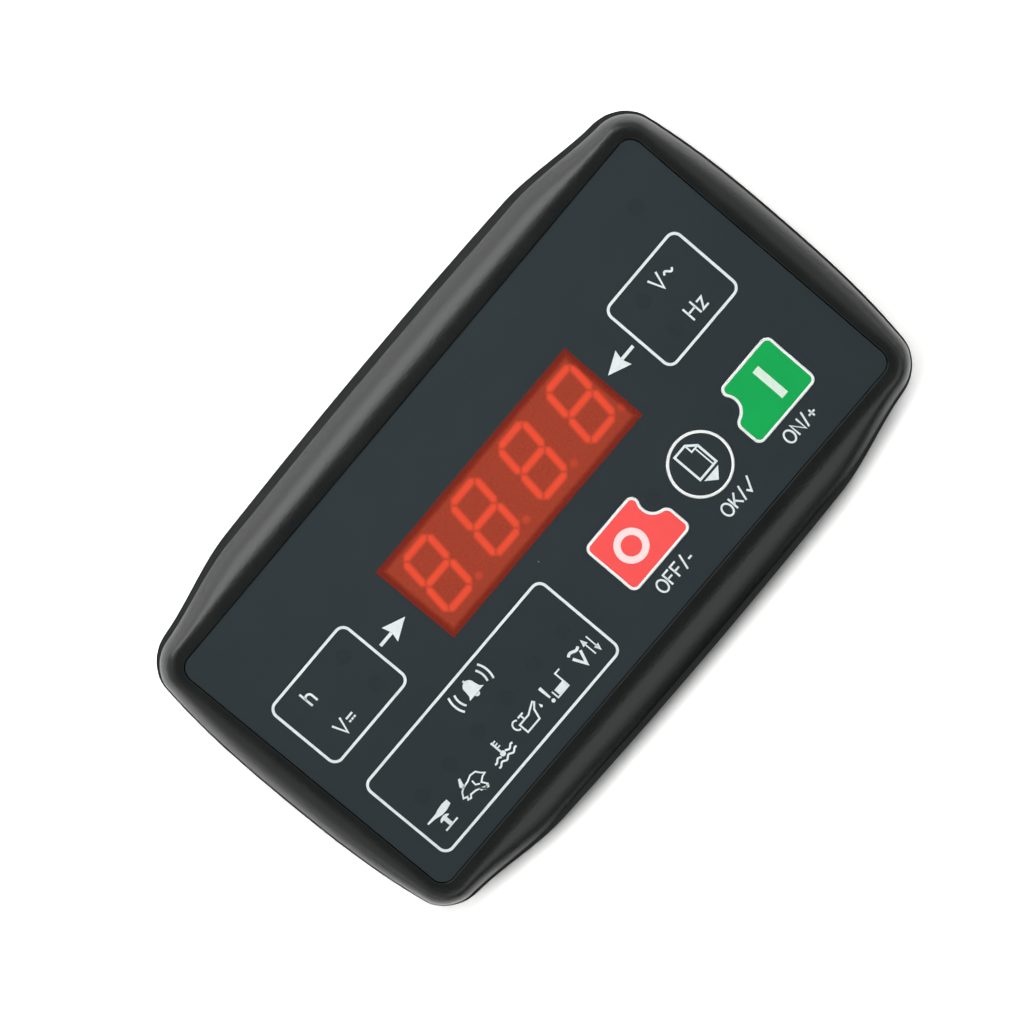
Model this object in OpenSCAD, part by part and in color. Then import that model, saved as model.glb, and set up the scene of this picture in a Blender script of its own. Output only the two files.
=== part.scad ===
// Panel controller for a generating set: a moulded bezel with bulged long sides, a printed front film,
// a four-digit LED display, three sprung keys, two circuit boards and a rear case with two plug sockets.
// Millimetres. The origin is at the centre of the back face, +X runs along the reading direction,
// +Y up the face and +Z out of the face.

/* [Bezel] */
// Length of the bezel at its lower edge
bezel_length = 107.2; // [105:0.1:120]
// Height of the bezel at its lower edge, at the middle of the long sides
bezel_width = 63.2; // [62:0.1:72]
// How far the bezel stands off the panel
bezel_height = 9.5; // [9:0.1:14]
// Radius of the bezel's corners at the lower edge
bezel_corner = 5.2; // [4:0.1:9]
// Step of the long sides, from their bulged middle down to the corners
bulge = 1.9; // [0:0.1:3]
// Distance from the middle at which the bulge starts to fall away
bulge_start = 31.5; // [24:0.5:36]
// Length over which the bulge falls away
bulge_fall = 18; // [8:0.5:20]
// Gentle bow of the long sides over their whole length
long_bow = 1.3; // [0:0.1:2]
// Gentle bow of the short sides
short_bow = 2.4; // [0:0.1:3.5]
// Width of the flat rim along the long sides of the film
rim_long = 1.8; // [1:0.1:2.2]
// Width of the flat rim along the short sides of the film
rim_short = 1.4; // [1:0.1:2]
// Rounding between the rim and the shoulder
rim_ease = 0.4; // [0.2:0.1:0.8]
// Height of the drafted wall between the shoulder's edge and the land
wall_height = 2.9; // [2.2:0.1:3.4]
// How far the drafted wall leans in at the middle of the long sides
lean_middle = 1.5; // [0.8:0.1:2]
// How far the drafted wall leans in at the corners and the short sides
lean_end = 1.1; // [0.6:0.1:1.4]
// Distance from the middle at which the lean starts to fall off
lean_start = 22; // [16:1:26]
// Length over which the lean falls off
lean_fall = 24; // [16:1:28]
// Height of the upright land at the bezel's lower edge
edge_land = 4.2; // [3.4:0.1:4.6]
// Thickness of the plate behind the film
plate_t = 2.0; // [1.6:0.1:2.6]

/* [Film] */
// Length of the front film
film_length = 95; // [93:0.5:97]
// Height of the front film
film_width = 47.3; // [46.5:0.1:49]
// Thickness of the front film
film_t = 0.5; // [0.3:0.05:0.8]
// Radius of the film's corners
film_corner = 2.0; // [1:0.1:3]
// Gap between the film and the wall of its recess
film_gap = 0.15; // [0.05:0.05:0.3]
// How far the film lies below the rim
film_sink = 0.2; // [0.1:0.05:0.4]

/* [Display] */
// Length of the display window
window_length = 40; // [39:0.1:42]
// Height of the display window
window_width = 14; // [13:0.1:16]
// Height of the window's centre on the face
window_y = 4.7; // [3:0.1:6]
// Gap round the window in the film
window_gap = 0.02; // [0.01:0.01:0.1]
// How far the display's face lies below the film
face_drop = 0.3; // [0.1:0.05:0.6]
// How far the display's body reaches past the window on each side
module_lap = 0.2; // [0.1:0.1:0.6]
// Depth of the display's body
module_depth = 7.0; // [6:0.1:8]
// Gap round the display's body in the bezel
module_gap = 0.3; // [0.1:0.05:0.6]
// Height of a digit, over its bars
digit_height = 10.16; // [9:0.1:11]
// Width of a digit, over its bars
digit_width = 6.0; // [5:0.1:6.5]
// Number of digits
digits = 4; // [3:1:4]
// Place of the digits' middle along the face
digits_x = 0.5; // [0.2:0.1:0.6]
// Height of the digits' middle over the window's
digits_rise = 0.4; // [0:0.1:0.6]
// Lean of the digits
digit_slant = 8; // [0:1:10]
// Width of a bar of a digit
bar_width = 1.0; // [0.7:0.05:1.3]
// Gap between the ends of neighbouring bars
bar_gap = 0.12; // [0.05:0.01:0.25]
// Depth of the bars in the display's face
bar_depth = 0.4; // [0.2:0.1:0.8]
// Diameter of a decimal point
dot_d = 1.1; // [0.7:0.1:1.3]
// Distance of a decimal point's centre from its digit
dot_gap = 0.35; // [0.2:0.05:0.6]

/* [Keys] */
// Length of the stop and run keys
key_length = 12.1; // [11:0.1:12.8]
// Height of the stop and run keys
key_width = 9.4; // [8.5:0.1:10]
// Diameter of the round page key
page_key_d = 9.4; // [8.5:0.1:10]
// Height of the keys' centres on the face
key_y = -12.7; // [-13.2:0.1:-12]
// Place of the page key along the face
page_key_x = 19.9; // [19:0.1:21]
// Distance from the page key to the stop key and to the run key
key_spacing = 13.2; // [12.8:0.1:13.6]
// Radius of the keys' corners
key_corner = 1.15; // [0.8:0.05:1.6]
// Radius of the notch for the key's lamp
notch_r = 2.0; // [1.9:0.05:2.2]
// Distance of the lamp from the key's centre, along the face
notch_x = 5.6; // [5.3:0.1:5.8]
// Distance of the lamp from the key's centre, up the face
notch_y = 2.05; // [1.7:0.05:2.3]
// Radius of the turn between the notch and the key's end
lip_r = 1.3; // [1:0.05:1.5]
// Radius of the turn between the notch and the key's upper side
tooth_r = 1.1; // [0.8:0.05:1.3]
// Gap between a key and the film
key_gap = 0.15; // [0.1:0.05:0.3]
// How far a key stands above the film
key_emboss = 0.2; // [0.1:0.05:0.4]
// Width of a key's raised border
key_border = 0.45; // [0.3:0.05:0.7]
// Height of that border above the key's middle
border_height = 0.1; // [0.05:0.05:0.2]
// Travel of a key
key_travel = 0.35; // [0.2:0.05:0.5]
// Room left under a key at the end of its travel
key_room = 0.3; // [0.2:0.05:0.5]

/* [Switches] */
// Side of a switch body
switch_size = 6.0; // [5:0.1:6.4]
// Height of a switch body
switch_height = 3.5; // [3:0.1:4]
// Thickness of the switch's cover plate
cover_t = 0.4; // [0.2:0.05:0.6]
// How far the cover plate stands back from the body's sides
cover_step = 0.35; // [0.2:0.05:0.6]
// Diameter of a plunger
plunger_d = 3.4; // [3:0.1:4]
// Gap between a plunger and the bore of its switch
plunger_gap = 0.1; // [0.05:0.01:0.15]
// Length of the plunger inside its switch
plunger_grip = 1.9; // [1.2:0.1:2.2]
// Gap between a plunger and its hole in the bezel
plunger_hole_gap = 0.5; // [0.3:0.1:0.8]

/* [Lamps] */
// Diameter of a lamp
lamp_d = 3.0; // [2.8:0.1:3.2]
// Height of a lamp over the board
lamp_height = 5.6; // [5:0.1:6]
// Diameter of a lamp's flange
flange_d = 3.8; // [3.4:0.1:4]
// Thickness of a lamp's flange
flange_t = 1.0; // [0.6:0.1:1.4]
// Gap between a lamp and its light hole
lamp_gap = 0.2; // [0.1:0.05:0.3]
// Diameter of a lamp's leads
lead_d = 0.5; // [0.4:0.05:0.6]
// Distance between a lamp's leads
lead_pitch = 2.54; // [2:0.02:2.6]
// Gap between a lead and its hole
lead_gap = 0.2; // [0.1:0.05:0.3]
// Length of a lead behind the board
lead_tail = 0.8; // [0.4:0.1:1.2]
// Distance of the reading lamps from the middle of the face
reading_x = 31.7; // [29:0.1:33]
// Height of the upper reading lamps on the face
reading_top_y = 7.6; // [7:0.1:9]
// Height of the lower reading lamps on the face
reading_low_y = 1.8; // [1:0.1:2.5]
// Place of the status lamp along the face
status_x = 40.7; // [40:0.1:41.5]
// Height of the status lamp on the face
status_y = 16.5; // [15:0.1:17]
// Place of the first alarm lamp along the face
alarm_x = -39.7; // [-40.5:0.1:-38]
// Distance from one alarm lamp to the next
alarm_pitch = 6.0; // [5.4:0.05:6.2]
// Height of the alarm lamps on the face
alarm_y = -13.1; // [-14:0.1:-12.6]

/* [Boards] */
// Gap between the boards and the short walls of the rear case
board_gap_x = 1.5; // [0.8:0.1:2.5]
// Gap between the boards and the long walls of the rear case
board_gap_y = 0.75; // [0.3:0.05:1]
// Thickness of the circuit boards
board_t = 1.6; // [1.2:0.1:2]
// Distance of the spacers from the ends of the boards
post_inset_x = 8; // [7:0.1:9]
// Distance of the spacers from the long edges of the boards
post_inset_y = 2.6; // [2.2:0.1:3]
// Diameter of the bezel's posts for the display board
post_d = 5.0; // [4.4:0.1:5.4]
// Width of a hexagonal spacer across its flats
spacer_flats = 4.5; // [4:0.1:5]
// Diameter of the studs and screws that hold the boards
board_screw_d = 2.4; // [2:0.1:2.6]
// Length of thread in the spacers and the posts
board_thread = 3.8; // [3:0.1:4.2]
// Diameter of a board screw's head
board_head_d = 4.5; // [4:0.1:5]
// Height of a board screw's head
board_head_t = 1.6; // [1.2:0.1:2]
// Gap between a board screw and its hole in a board
board_hole_gap = 0.2; // [0.1:0.05:0.3]

/* [Rear case] */
// Length of the rear case
case_length = 95; // [94:0.5:97]
// Height of the rear case
case_width = 48; // [47.5:0.1:49]
// Depth of the rear case behind the panel
case_depth = 32; // [31:0.5:45]
// Thickness of the rear case's side walls
case_wall = 2.0; // [1.6:0.1:2.2]
// Thickness of the back wall
back_wall = 2.0; // [1.6:0.1:2.4]
// Radius of the rear case's corners
case_corner = 3.0; // [2:0.1:4]
// Rounding of the case's edges at the back
back_round = 1.4; // [0.8:0.1:1.6]
// How far the rear case plugs into the bezel
spigot = 1.5; // [1:0.1:2]
// Gap round that spigot
spigot_gap = 0.15; // [0.1:0.05:0.25]
// Radius of the screw columns
column_r = 3.6; // [3.4:0.1:4]
// Distance of the screw columns from the middle of the short sides
column_y = 5.5; // [5:0.1:6]
// How far a column merges into the side wall
column_merge = 0.4; // [0.2:0.1:0.8]
// Gap between the columns and the boards
column_gap = 0.5; // [0.3:0.1:0.8]
// Length of a clip slot in the side walls
clip_length = 12; // [8:0.5:16]
// Height of a clip slot
clip_height = 3; // [2:0.1:4]
// Depth of a clip slot
clip_depth = 1.0; // [0.6:0.1:1.2]
// Distance of the clip slots behind the panel
clip_drop = 9; // [6:0.5:12]

/* [Case screws] */
// Diameter of the case screws
case_screw_d = 3.0; // [2.6:0.1:3.2]
// Diameter of their heads
case_head_d = 5.4; // [5:0.1:5.6]
// Height of their heads
case_head_t = 2.0; // [1.6:0.1:2.4]
// How far the heads are sunk below the back face
case_head_sink = 0.6; // [0.3:0.1:1]
// Gap round the heads
case_head_gap = 0.3; // [0.2:0.05:0.4]
// Gap round the screws in the columns
case_screw_gap = 0.25; // [0.15:0.05:0.35]
// Length of thread in the bezel
case_thread = 4.2; // [3.5:0.1:4.6]
// Gap between a thread and its pilot hole
thread_gap = 0.05; // [0.02:0.01:0.08]
// Width of the cross slots in the screw heads
slot_width = 0.8; // [0.5:0.1:1]
// Length of those slots
slot_length = 3.4; // [2.6:0.1:4]

/* [Gasket] */
// Width of the gasket
gasket_width = 2.8; // [2:0.1:3.2]
// Thickness of the gasket
gasket_t = 1.6; // [1.2:0.1:2]
// How far the gasket is sunk into the bezel
gasket_sink = 0.6; // [0.3:0.1:0.8]
// Gap between the gasket and the rear case
gasket_gap = 0.3; // [0.2:0.05:0.5]

/* [Sockets] */
// Distance from pin to pin
pin_pitch = 5.08; // [5:0.01:5.1]
// Number of pins of the signal socket
io_ways = 8; // [6:1:9]
// Number of pins of the alternator voltage socket
ac_ways = 5; // [3:1:7]
// Place of the signal socket along the back
io_x = -8; // [-10:0.5:8]
// Place of the voltage socket along the back
ac_x = 0; // [-8:0.5:8]
// Distance of the sockets' middles from the long edges of the main board
socket_inset = 9.75; // [9.2:0.05:10.2]
// Height of the sockets over the main board
socket_height = 12; // [11:0.1:13]
// Width of the sockets
socket_width = 10.8; // [10.4:0.1:11.2]
// Thickness of the sockets' side walls
socket_wall = 1.2; // [0.8:0.1:1.4]
// Thickness of the sockets' end walls
socket_end = 1.5; // [1:0.1:2]
// Thickness of the sockets' base
socket_base = 3; // [2.5:0.1:4]
// How far the sockets lie below the back face
socket_sink = 0.5; // [0.2:0.1:1]
// Gap between the sockets and the back wall
socket_gap = 0.25; // [0.15:0.05:0.4]
// Side of a pin
pin_size = 1.0; // [0.8:0.05:1.2]
// Gap between a pin and its passage
pin_gap = 0.05; // [0.02:0.01:0.1]
// Distance of the pins from the middle of the socket
pin_offset = 2.2; // [1.8:0.1:2.4]
// How far the pins end below the socket's mouth
pin_sink = 1.5; // [1:0.1:2.5]

/* [Electronics] */
// Length of a relay
relay_length = 19; // [17:0.5:20]
// Width of a relay
relay_width = 15.5; // [14:0.1:16]
// Room between the relays and the display board
relay_room = 2.5; // [1.5:0.1:8]
// Height of a relay's base plate
relay_base = 1.2; // [0.8:0.1:2]
// How far a relay's cover stands back from its base plate
relay_step = 0.4; // [0.2:0.1:0.8]
// Radius of a relay's upright edges
relay_corner = 0.8; // [0.4:0.1:1.2]
// Distance of the start and fuel relays from the middle of the board
relay_x = -23; // [-24:0.5:-22]
// Distance of the relays from the long axis of the board
relay_y = 8.5; // [8:0.1:9]
// Distance from the start relay to the alarm relay
relay_spacing = 21; // [20.5:0.5:22]
// Diameter of the capacitor
capacitor_d = 10; // [8:0.5:11]
// Room between the capacitor and the display board
capacitor_room = 3.8; // [2:0.1:8]
// Height of the groove where the capacitor's can is crimped
crimp_z = 2.0; // [1.4:0.1:3]
// Depth of that groove
crimp = 0.4; // [0.2:0.05:0.6]
// Bevel at the top of the can
capacitor_bevel = 0.5; // [0.3:0.1:0.8]
// Side of the inductor
inductor_size = 10; // [8:0.5:11]
// Height of the inductor
inductor_height = 5; // [4:0.5:6]
// Thickness of the inductor's two flanges
inductor_flange = 1.0; // [0.8:0.1:1.2]
// How far the winding stands back from the flanges
inductor_waist = 1.2; // [0.8:0.1:1.6]
// Distance of the supply's pieces below the long axis of the board
supply_y = -9; // [-11:0.5:-8]
// Distance between the supply's pieces and the microcontroller
supply_step = 13; // [12:0.5:14]
// Side of the microcontroller
chip_size = 10; // [8:0.5:11]
// Height of the microcontroller
chip_height = 1.4; // [1:0.1:2]
// Room between the chip and the board
chip_stand = 0.1; // [0.05:0.05:0.2]
// Number of legs on each side of the chip
chip_legs = 8; // [6:1:8]
// Distance between two legs
chip_pitch = 1.0; // [0.8:0.05:1]
// Width of a leg
chip_leg_width = 0.4; // [0.3:0.05:0.45]
// Thickness of a leg
chip_leg_t = 0.2; // [0.15:0.05:0.25]
// Length of a leg's foot
chip_foot = 0.7; // [0.5:0.05:0.8]
// Length of the link between the boards
link_length = 20.3; // [16:0.1:22]
// Width of that link
link_width = 5; // [4:0.1:6]
// Height of the link's socket
link_socket_height = 8.5; // [7:0.1:9]
// Place of the link along the boards
link_x = 22; // [21:0.5:23]
// Height of the link on the boards
link_y = 14; // [12.5:0.5:14.5]

/* [Hidden] */
$fn = 48;
sliver = 0.5;
arc_steps = 8;
corner_steps = 10;
long_steps = 30;
short_steps = 10;
ease_steps = 4;
shoulder_steps = 9;
short_bow_power = 2.6;
shoulder_near = [0.36, 0.05];
shoulder_far = [0.78, 0.49];
face_z = case_depth + bezel_height;
film_top = face_z - film_sink;
film_low = film_top - film_t;
plate_low = film_low - plate_t;
recess_depth = film_sink + film_t;
board_top = film_low - face_drop - module_depth;
board_low = board_top - board_t;
main_low = socket_sink + socket_height;
main_top = main_low + board_t;
board_space = board_low - main_top;
relay_height = board_space - relay_room;
capacitor_height = board_space - capacitor_room;
half_l = bezel_length / 2;
half_w = bezel_width / 2;
case_front = case_depth + spigot;
inner_length = case_length - 2 * case_wall;
inner_width = case_width - 2 * case_wall;
inner_corner = max(case_corner - case_wall, sliver);
board_length = inner_length - 2 * board_gap_x;
board_width = inner_width - 2 * board_gap_y;
socket_y = board_width / 2 - socket_inset;
column_x = inner_length / 2 - column_r + column_merge;
post_x = board_length / 2 - post_inset_x;
post_y = board_width / 2 - post_inset_y;
module_length = window_length + 2 * module_lap;
module_width = window_width + 2 * module_lap;
digit_pitch = module_length / digits;
dot_shift = [digit_width / 2 + dot_gap, -(digit_height - dot_d) / 2];
head_seat = case_head_sink + case_head_t;
gasket_inner = [case_length + 2 * gasket_gap, case_width + 2 * gasket_gap];
gasket_corner = case_corner + gasket_gap;
stop_key_x = page_key_x - key_spacing;
run_key_x = page_key_x + key_spacing;
supply_x = relay_x + relay_spacing;

LAMPS = [
    ["hour_led", [-reading_x, reading_top_y]],
    ["dc_volts_led", [-reading_x, reading_low_y]],
    ["ac_volts_led", [reading_x, reading_top_y]],
    ["hertz_led", [reading_x, reading_low_y]],
    ["status_led", [status_x, status_y]],
    ["stop_led", [stop_key_x + notch_x, key_y + notch_y]],
    ["run_led", [run_key_x - notch_x, key_y + notch_y]],
    for (i = [0 : 5]) [str("alarm_led_", i + 1), [alarm_x + i * alarm_pitch, alarm_y]]
];

// Value between a and b at the share t
function mix(a, b, t) = a + (b - a) * t;

// Smooth step from 0 to 1
function smooth(t) = let (c = min(1, max(0, t))) c * c * (3 - 2 * c);

// Point of a cubic curve from [0, 0] to [1, 1] with the handles p and q
function curve(t, p, q) = 3 * t * pow(1 - t, 2) * p + 3 * t * t * (1 - t) * q + pow(t, 3) * [1, 1];

// Points of a straight side, without its last one
function side(a, b, n) = [for (i = [0 : n - 1]) mix(a, b, i / n)];

// Points of a quarter circle, without its last one
function quarter(c, r, start) =
    [for (i = [0 : corner_steps - 1]) let (a = start + 90 * i / corner_steps) c + r * [cos(a), sin(a)]];

// Points round a rounded rectangle with the half sides x and y, counter-clockwise
function outline(x, y, r) = concat(
    quarter([x - r, y - r], r, 0), side([x - r, y], [r - x, y], long_steps),
    quarter([r - x, y - r], r, 90), side([-x, y - r], [-x, r - y], short_steps),
    quarter([r - x, r - y], r, 180), side([r - x, -y], [x - r, -y], long_steps),
    quarter([x - r, r - y], r, 270), side([x, r - y], [x, y - r], short_steps)
);

// Reach of the bezel's long side at x, and of its short side at y
function long_reach(x) =
    half_w - long_bow * pow(x / half_l, 2) - bulge * smooth((abs(x) - bulge_start) / bulge_fall);
function short_reach(y) = half_l - short_bow * pow(abs(y) / half_w, short_bow_power);

// A point of the plain outline, moved to the bulged outline of the lower edge
function bulged(p) = [p.x * short_reach(p.y) / half_l, p.y * long_reach(p.x) / half_w];

// Outline of the rim, moved in by d
function rim_outline(d) =
    outline(film_length / 2 + rim_short - d, film_width / 2 + rim_long - d, film_corner + rim_short - d);

// Point of the shoulder's edge above the point p of the lower edge, on the way to the point q of the rim
function shoulder_edge(p, q) =
    p + (q - p) / norm(q - p) * mix(lean_middle, lean_end, smooth((abs(p.x) - lean_start) / lean_fall));

// A flat list of points, lifted to the height z
function lifted(points, z) = [for (p = points) [p.x, p.y, z]];

// Points of an arc about c between two angles, without as many points at each end as skip says
function arc(c, r, from, to, skip = 0) =
    [for (i = [skip : arc_steps - skip]) let (a = mix(from, to, i / arc_steps)) c + r * [cos(a), sin(a)]];

// Outline of the stop key, grown by g: a chain of arcs, with the notch for its lamp at the upper right.
// The notch touches the turns beside it, because their centres lie as far apart as their radii add up to
function notched_key(g) =
    let (
        x = key_length / 2, y = key_width / 2, r = key_corner, notch = [notch_x, notch_y],
        lip_y = notch.y - sqrt(pow(notch_r + lip_r, 2) - pow(x - lip_r - notch.x, 2)),
        tooth_x = notch.x - sqrt(pow(notch_r + tooth_r, 2) - pow(y - tooth_r - notch.y, 2)),
        lip = [x - lip_r, lip_y], tooth = [tooth_x, y - tooth_r],
        lip_angle = atan2(notch.y - lip.y, notch.x - lip.x),
        tooth_angle = atan2(notch.y - tooth.y, notch.x - tooth.x)
    )
    concat(
        arc([r - x, r - y], r + g, 180, 270), arc([x - r, r - y], r + g, 270, 360),
        arc(lip, lip_r + g, 0, lip_angle), arc(notch, notch_r - g, 180 + lip_angle, 180 + tooth_angle, 1),
        arc(tooth, tooth_r + g, tooth_angle, 90), arc([r - x, y - r], r + g, 90, 180)
    );

// Flat plate with true round corners, centred, standing on z = 0
module rounded_plate(size, r, t) {
    linear_extrude(t) rounded_shape(size, r);
}

module rounded_shape(size, r) {
    square([size.x - 2 * r, size.y], center = true);
    square([size.x, size.y - 2 * r], center = true);
    for (sx = [-1, 1], sy = [-1, 1])
        translate([sx * (size.x / 2 - r), sy * (size.y / 2 - r)]) circle(r);
}

// Repeats its children in the four quarters
module four(x, y) {
    for (sx = [-1, 1], sy = [-1, 1]) translate([sx * x, sy * y]) children();
}

// The outer form of the bezel: rings from the rim, round its edge, down the curved shoulder to the
// shoulder's edge, down the drafted wall and down the land
module bezel_body() {
    rim = rim_outline(0);
    inner = lifted(rim_outline(rim_ease), face_z);
    corner = lifted(rim, face_z);
    foot = [for (p = outline(half_l, half_w, bezel_corner)) bulged(p)];
    n = len(rim);
    edge = [for (i = [0 : n - 1]) shoulder_edge(foot[i], rim[i])];
    drop = bezel_height - edge_land - wall_height;
    shoulder = [for (k = [1 : shoulder_steps]) let (s = curve(k / shoulder_steps, shoulder_near, shoulder_far))
        [for (i = [0 : n - 1]) let (p = mix(rim[i], edge[i], s.x)) [p.x, p.y, face_z - drop * s.y]]];
    turn = [for (k = [0 : ease_steps - 1]) let (t = k / ease_steps)
        [for (i = [0 : n - 1]) mix(mix(inner[i], corner[i], t), mix(corner[i], shoulder[0][i], t), t)]];
    rows = concat(turn, shoulder, [lifted(foot, case_depth + edge_land), lifted(foot, case_depth)]);
    last = len(rows) - 1;
    rings = [for (row = rows) each row];
    middles = [[0, 0, face_z], [0, 0, case_depth]];
    walls = [for (k = [0 : last - 1], i = [0 : n - 1], h = [0, 1])
        let (a = k * n + i, b = k * n + (i + 1) % n) h == 0 ? [a, b, b + n] : [a, b + n, a + n]];
    top = [for (i = [0 : n - 1]) [len(rings), (i + 1) % n, i]];
    low = [for (i = [0 : n - 1]) [len(rings) + 1, last * n + i, last * n + (i + 1) % n]];
    polyhedron(concat(rings, middles), concat(walls, top, low));
}

module stop_shape(g = 0) {
    translate([stop_key_x, key_y]) polygon(notched_key(g));
}

module page_shape(g = 0) {
    translate([page_key_x, key_y]) circle(page_key_d / 2 + g);
}

module run_shape(g = 0) {
    translate([run_key_x, key_y]) mirror([1, 0]) polygon(notched_key(g));
}

// One embossed key: the first child is its outline, the second the outline of its sunk middle
module key_pad() {
    difference() {
        translate([0, 0, film_low]) linear_extrude(film_t + key_emboss) children(0);
        translate([0, 0, film_top + key_emboss - border_height]) linear_extrude(sliver) children(1);
    }
}

module front_bezel() {
    post_hole = board_screw_d / 2 + thread_gap;
    screw_hole = case_screw_d / 2 + thread_gap;
    color([0.13, 0.14, 0.14]) difference() {
        union() {
            difference() {
                bezel_body();
                translate([0, 0, face_z - recess_depth])
                    rounded_plate([film_length + 2 * film_gap, film_width + 2 * film_gap],
                        film_corner + film_gap, recess_depth + sliver);
                translate([0, 0, case_depth - sliver])
                    rounded_plate([case_length + 2 * spigot_gap, case_width + 2 * spigot_gap],
                        case_corner + spigot_gap, spigot + sliver);
                translate([0, 0, case_depth])
                    rounded_plate([inner_length, inner_width], inner_corner, plate_low - case_depth);
                translate([0, 0, case_depth - sliver])
                    rounded_plate(gasket_inner + 2 * [gasket_width, gasket_width],
                        gasket_corner + gasket_width, gasket_sink + sliver);
            }
            translate([0, 0, board_top])
                four(post_x, post_y) cylinder(d = post_d, h = plate_low - board_top + sliver);
            translate([0, 0, case_front])
                four(column_x, column_y) cylinder(r = column_r, h = plate_low - case_front + sliver);
        }
        translate([0, 0, board_top - sliver])
            four(post_x, post_y) cylinder(r = post_hole, h = board_thread + 2 * sliver);
        translate([0, 0, case_front - sliver])
            four(column_x, column_y) cylinder(r = screw_hole, h = case_thread + 2 * sliver);
        translate([0, window_y, plate_low - sliver]) linear_extrude(plate_t + 2 * sliver)
            square([module_length + 2 * module_gap, module_width + 2 * module_gap], center = true);
        translate([0, 0, film_low - key_travel - key_room]) linear_extrude(key_travel + key_room + sliver) {
            stop_shape(2 * key_gap);
            page_shape(2 * key_gap);
            run_shape(2 * key_gap);
            for (x = [stop_key_x + notch_x, run_key_x - notch_x])
                translate([x, key_y + notch_y]) circle(notch_r);
        }
        for (x = [stop_key_x, page_key_x, run_key_x])
            translate([x, key_y, plate_low - sliver])
                cylinder(d = plunger_d + 2 * plunger_hole_gap, h = plate_t + sliver);
        for (lamp = LAMPS)
            translate([lamp[1].x, lamp[1].y, plate_low - sliver])
                cylinder(d = lamp_d + 2 * lamp_gap, h = plate_t + 2 * sliver);
    }
}

module front_film() {
    color([0.19, 0.22, 0.23]) translate([0, 0, film_low]) linear_extrude(film_t) difference() {
        rounded_shape([film_length, film_width], film_corner);
        translate([0, window_y]) square([window_length, window_width], center = true);
        stop_shape(key_gap);
        page_shape(key_gap);
        run_shape(key_gap);
    }
}

module display_window() {
    color([0.75, 0.2, 0.12, 0.6]) translate([0, window_y, film_low]) linear_extrude(film_t)
        square([window_length - 2 * window_gap, window_width - 2 * window_gap], center = true);
}

module stop_key() {
    color([1.0, 0.35, 0.34]) key_pad() {
        stop_shape();
        stop_shape(-key_border);
    }
}

module page_key() {
    color([0.19, 0.22, 0.23]) key_pad() {
        page_shape();
        page_shape(-key_border);
    }
}

module run_key() {
    color([0.11, 0.68, 0.34]) key_pad() {
        run_shape();
        run_shape(-key_border);
    }
}

// Plunger of the switch at x, from inside the switch up to the underside of its key
module plunger(x) {
    foot = board_top + switch_height - plunger_grip;
    color([0.9, 0.9, 0.88]) translate([x, key_y, foot]) cylinder(d = plunger_d, h = film_low - foot);
}

module stop_plunger() {
    plunger(stop_key_x);
}

module page_plunger() {
    plunger(page_key_x);
}

module run_plunger() {
    plunger(run_key_x);
}

// Tactile switch body at x, with the bore that guides its plunger
module tact_switch(x) {
    bore_depth = plunger_grip + key_travel + key_room;
    color([0.12, 0.12, 0.13]) translate([x, key_y, board_top]) difference() {
        union() {
            linear_extrude(switch_height - cover_t) square(switch_size, center = true);
            linear_extrude(switch_height) square(switch_size - 2 * cover_step, center = true);
        }
        translate([0, 0, switch_height - bore_depth])
            cylinder(r = plunger_d / 2 + plunger_gap, h = bore_depth + sliver);
    }
}

module stop_switch() {
    tact_switch(stop_key_x);
}

module page_switch() {
    tact_switch(page_key_x);
}

module run_switch() {
    tact_switch(run_key_x);
}

// A point of a digit, leaned over
function leaned(p) = [p.x + p.y * tan(digit_slant), p.y];

// Outline of one bar of a digit between two joints, with pointed ends
module bar(a, b) {
    along = (b - a) / norm(b - a);
    across = [-along.y, along.x] * bar_width / 2;
    tip = along * bar_gap;
    shoulder = along * (bar_gap + bar_width / 2);
    polygon([for (p = [a + tip, a + shoulder - across, b - shoulder - across,
        b - tip, b - shoulder + across, a + shoulder + across]) leaned(p)]);
}

// Bars and point of every digit, as flat shapes
module digit_shapes() {
    x = (digit_width - bar_width) / 2;
    y = (digit_height - bar_width) / 2;
    for (k = [0 : digits - 1])
        translate([digits_x + (k - (digits - 1) / 2) * digit_pitch, window_y + digits_rise]) {
            for (level = [-y, 0, y]) bar([-x, level], [x, level]);
            for (sx = [-x, x], low = [-y, 0]) bar([sx, low], [sx, low + y]);
            translate(dot_shift) circle(d = dot_d);
        }
}

module display_segments() {
    color([1.0, 0.42, 0.3]) translate([0, 0, film_low - face_drop - bar_depth])
        linear_extrude(bar_depth) digit_shapes();
}

module display_module() {
    color([0.3, 0.12, 0.1]) difference() {
        translate([-module_length / 2, window_y - module_width / 2, board_top])
            cube([module_length, module_width, module_depth]);
        translate([0, 0, film_low - face_drop - bar_depth]) linear_extrude(bar_depth + sliver) digit_shapes();
    }
}

// Outline of a circuit board, with room for the screw columns and holes for the spacers' screws
module board_shape() {
    room = column_r + column_gap;
    difference() {
        square([board_length, board_width], center = true);
        for (sx = [-1, 1], sy = [-1, 1])
            translate([sx * (column_x + room), sy * column_y]) square([4 * room, 2 * room], center = true);
        four(post_x, post_y) circle(board_screw_d / 2 + board_hole_gap);
    }
}

module display_board() {
    color([0.05, 0.32, 0.2]) translate([0, 0, board_low]) linear_extrude(board_t) difference() {
        board_shape();
        for (lamp = LAMPS, side = [-1, 1])
            translate(lamp[1] + [side * lead_pitch / 2, 0]) circle(lead_d / 2 + lead_gap);
    }
}

// Places of a socket's pins along its length
function pin_places(ways) = [for (i = [0 : ways - 1]) (i - (ways - 1) / 2) * pin_pitch];

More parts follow.
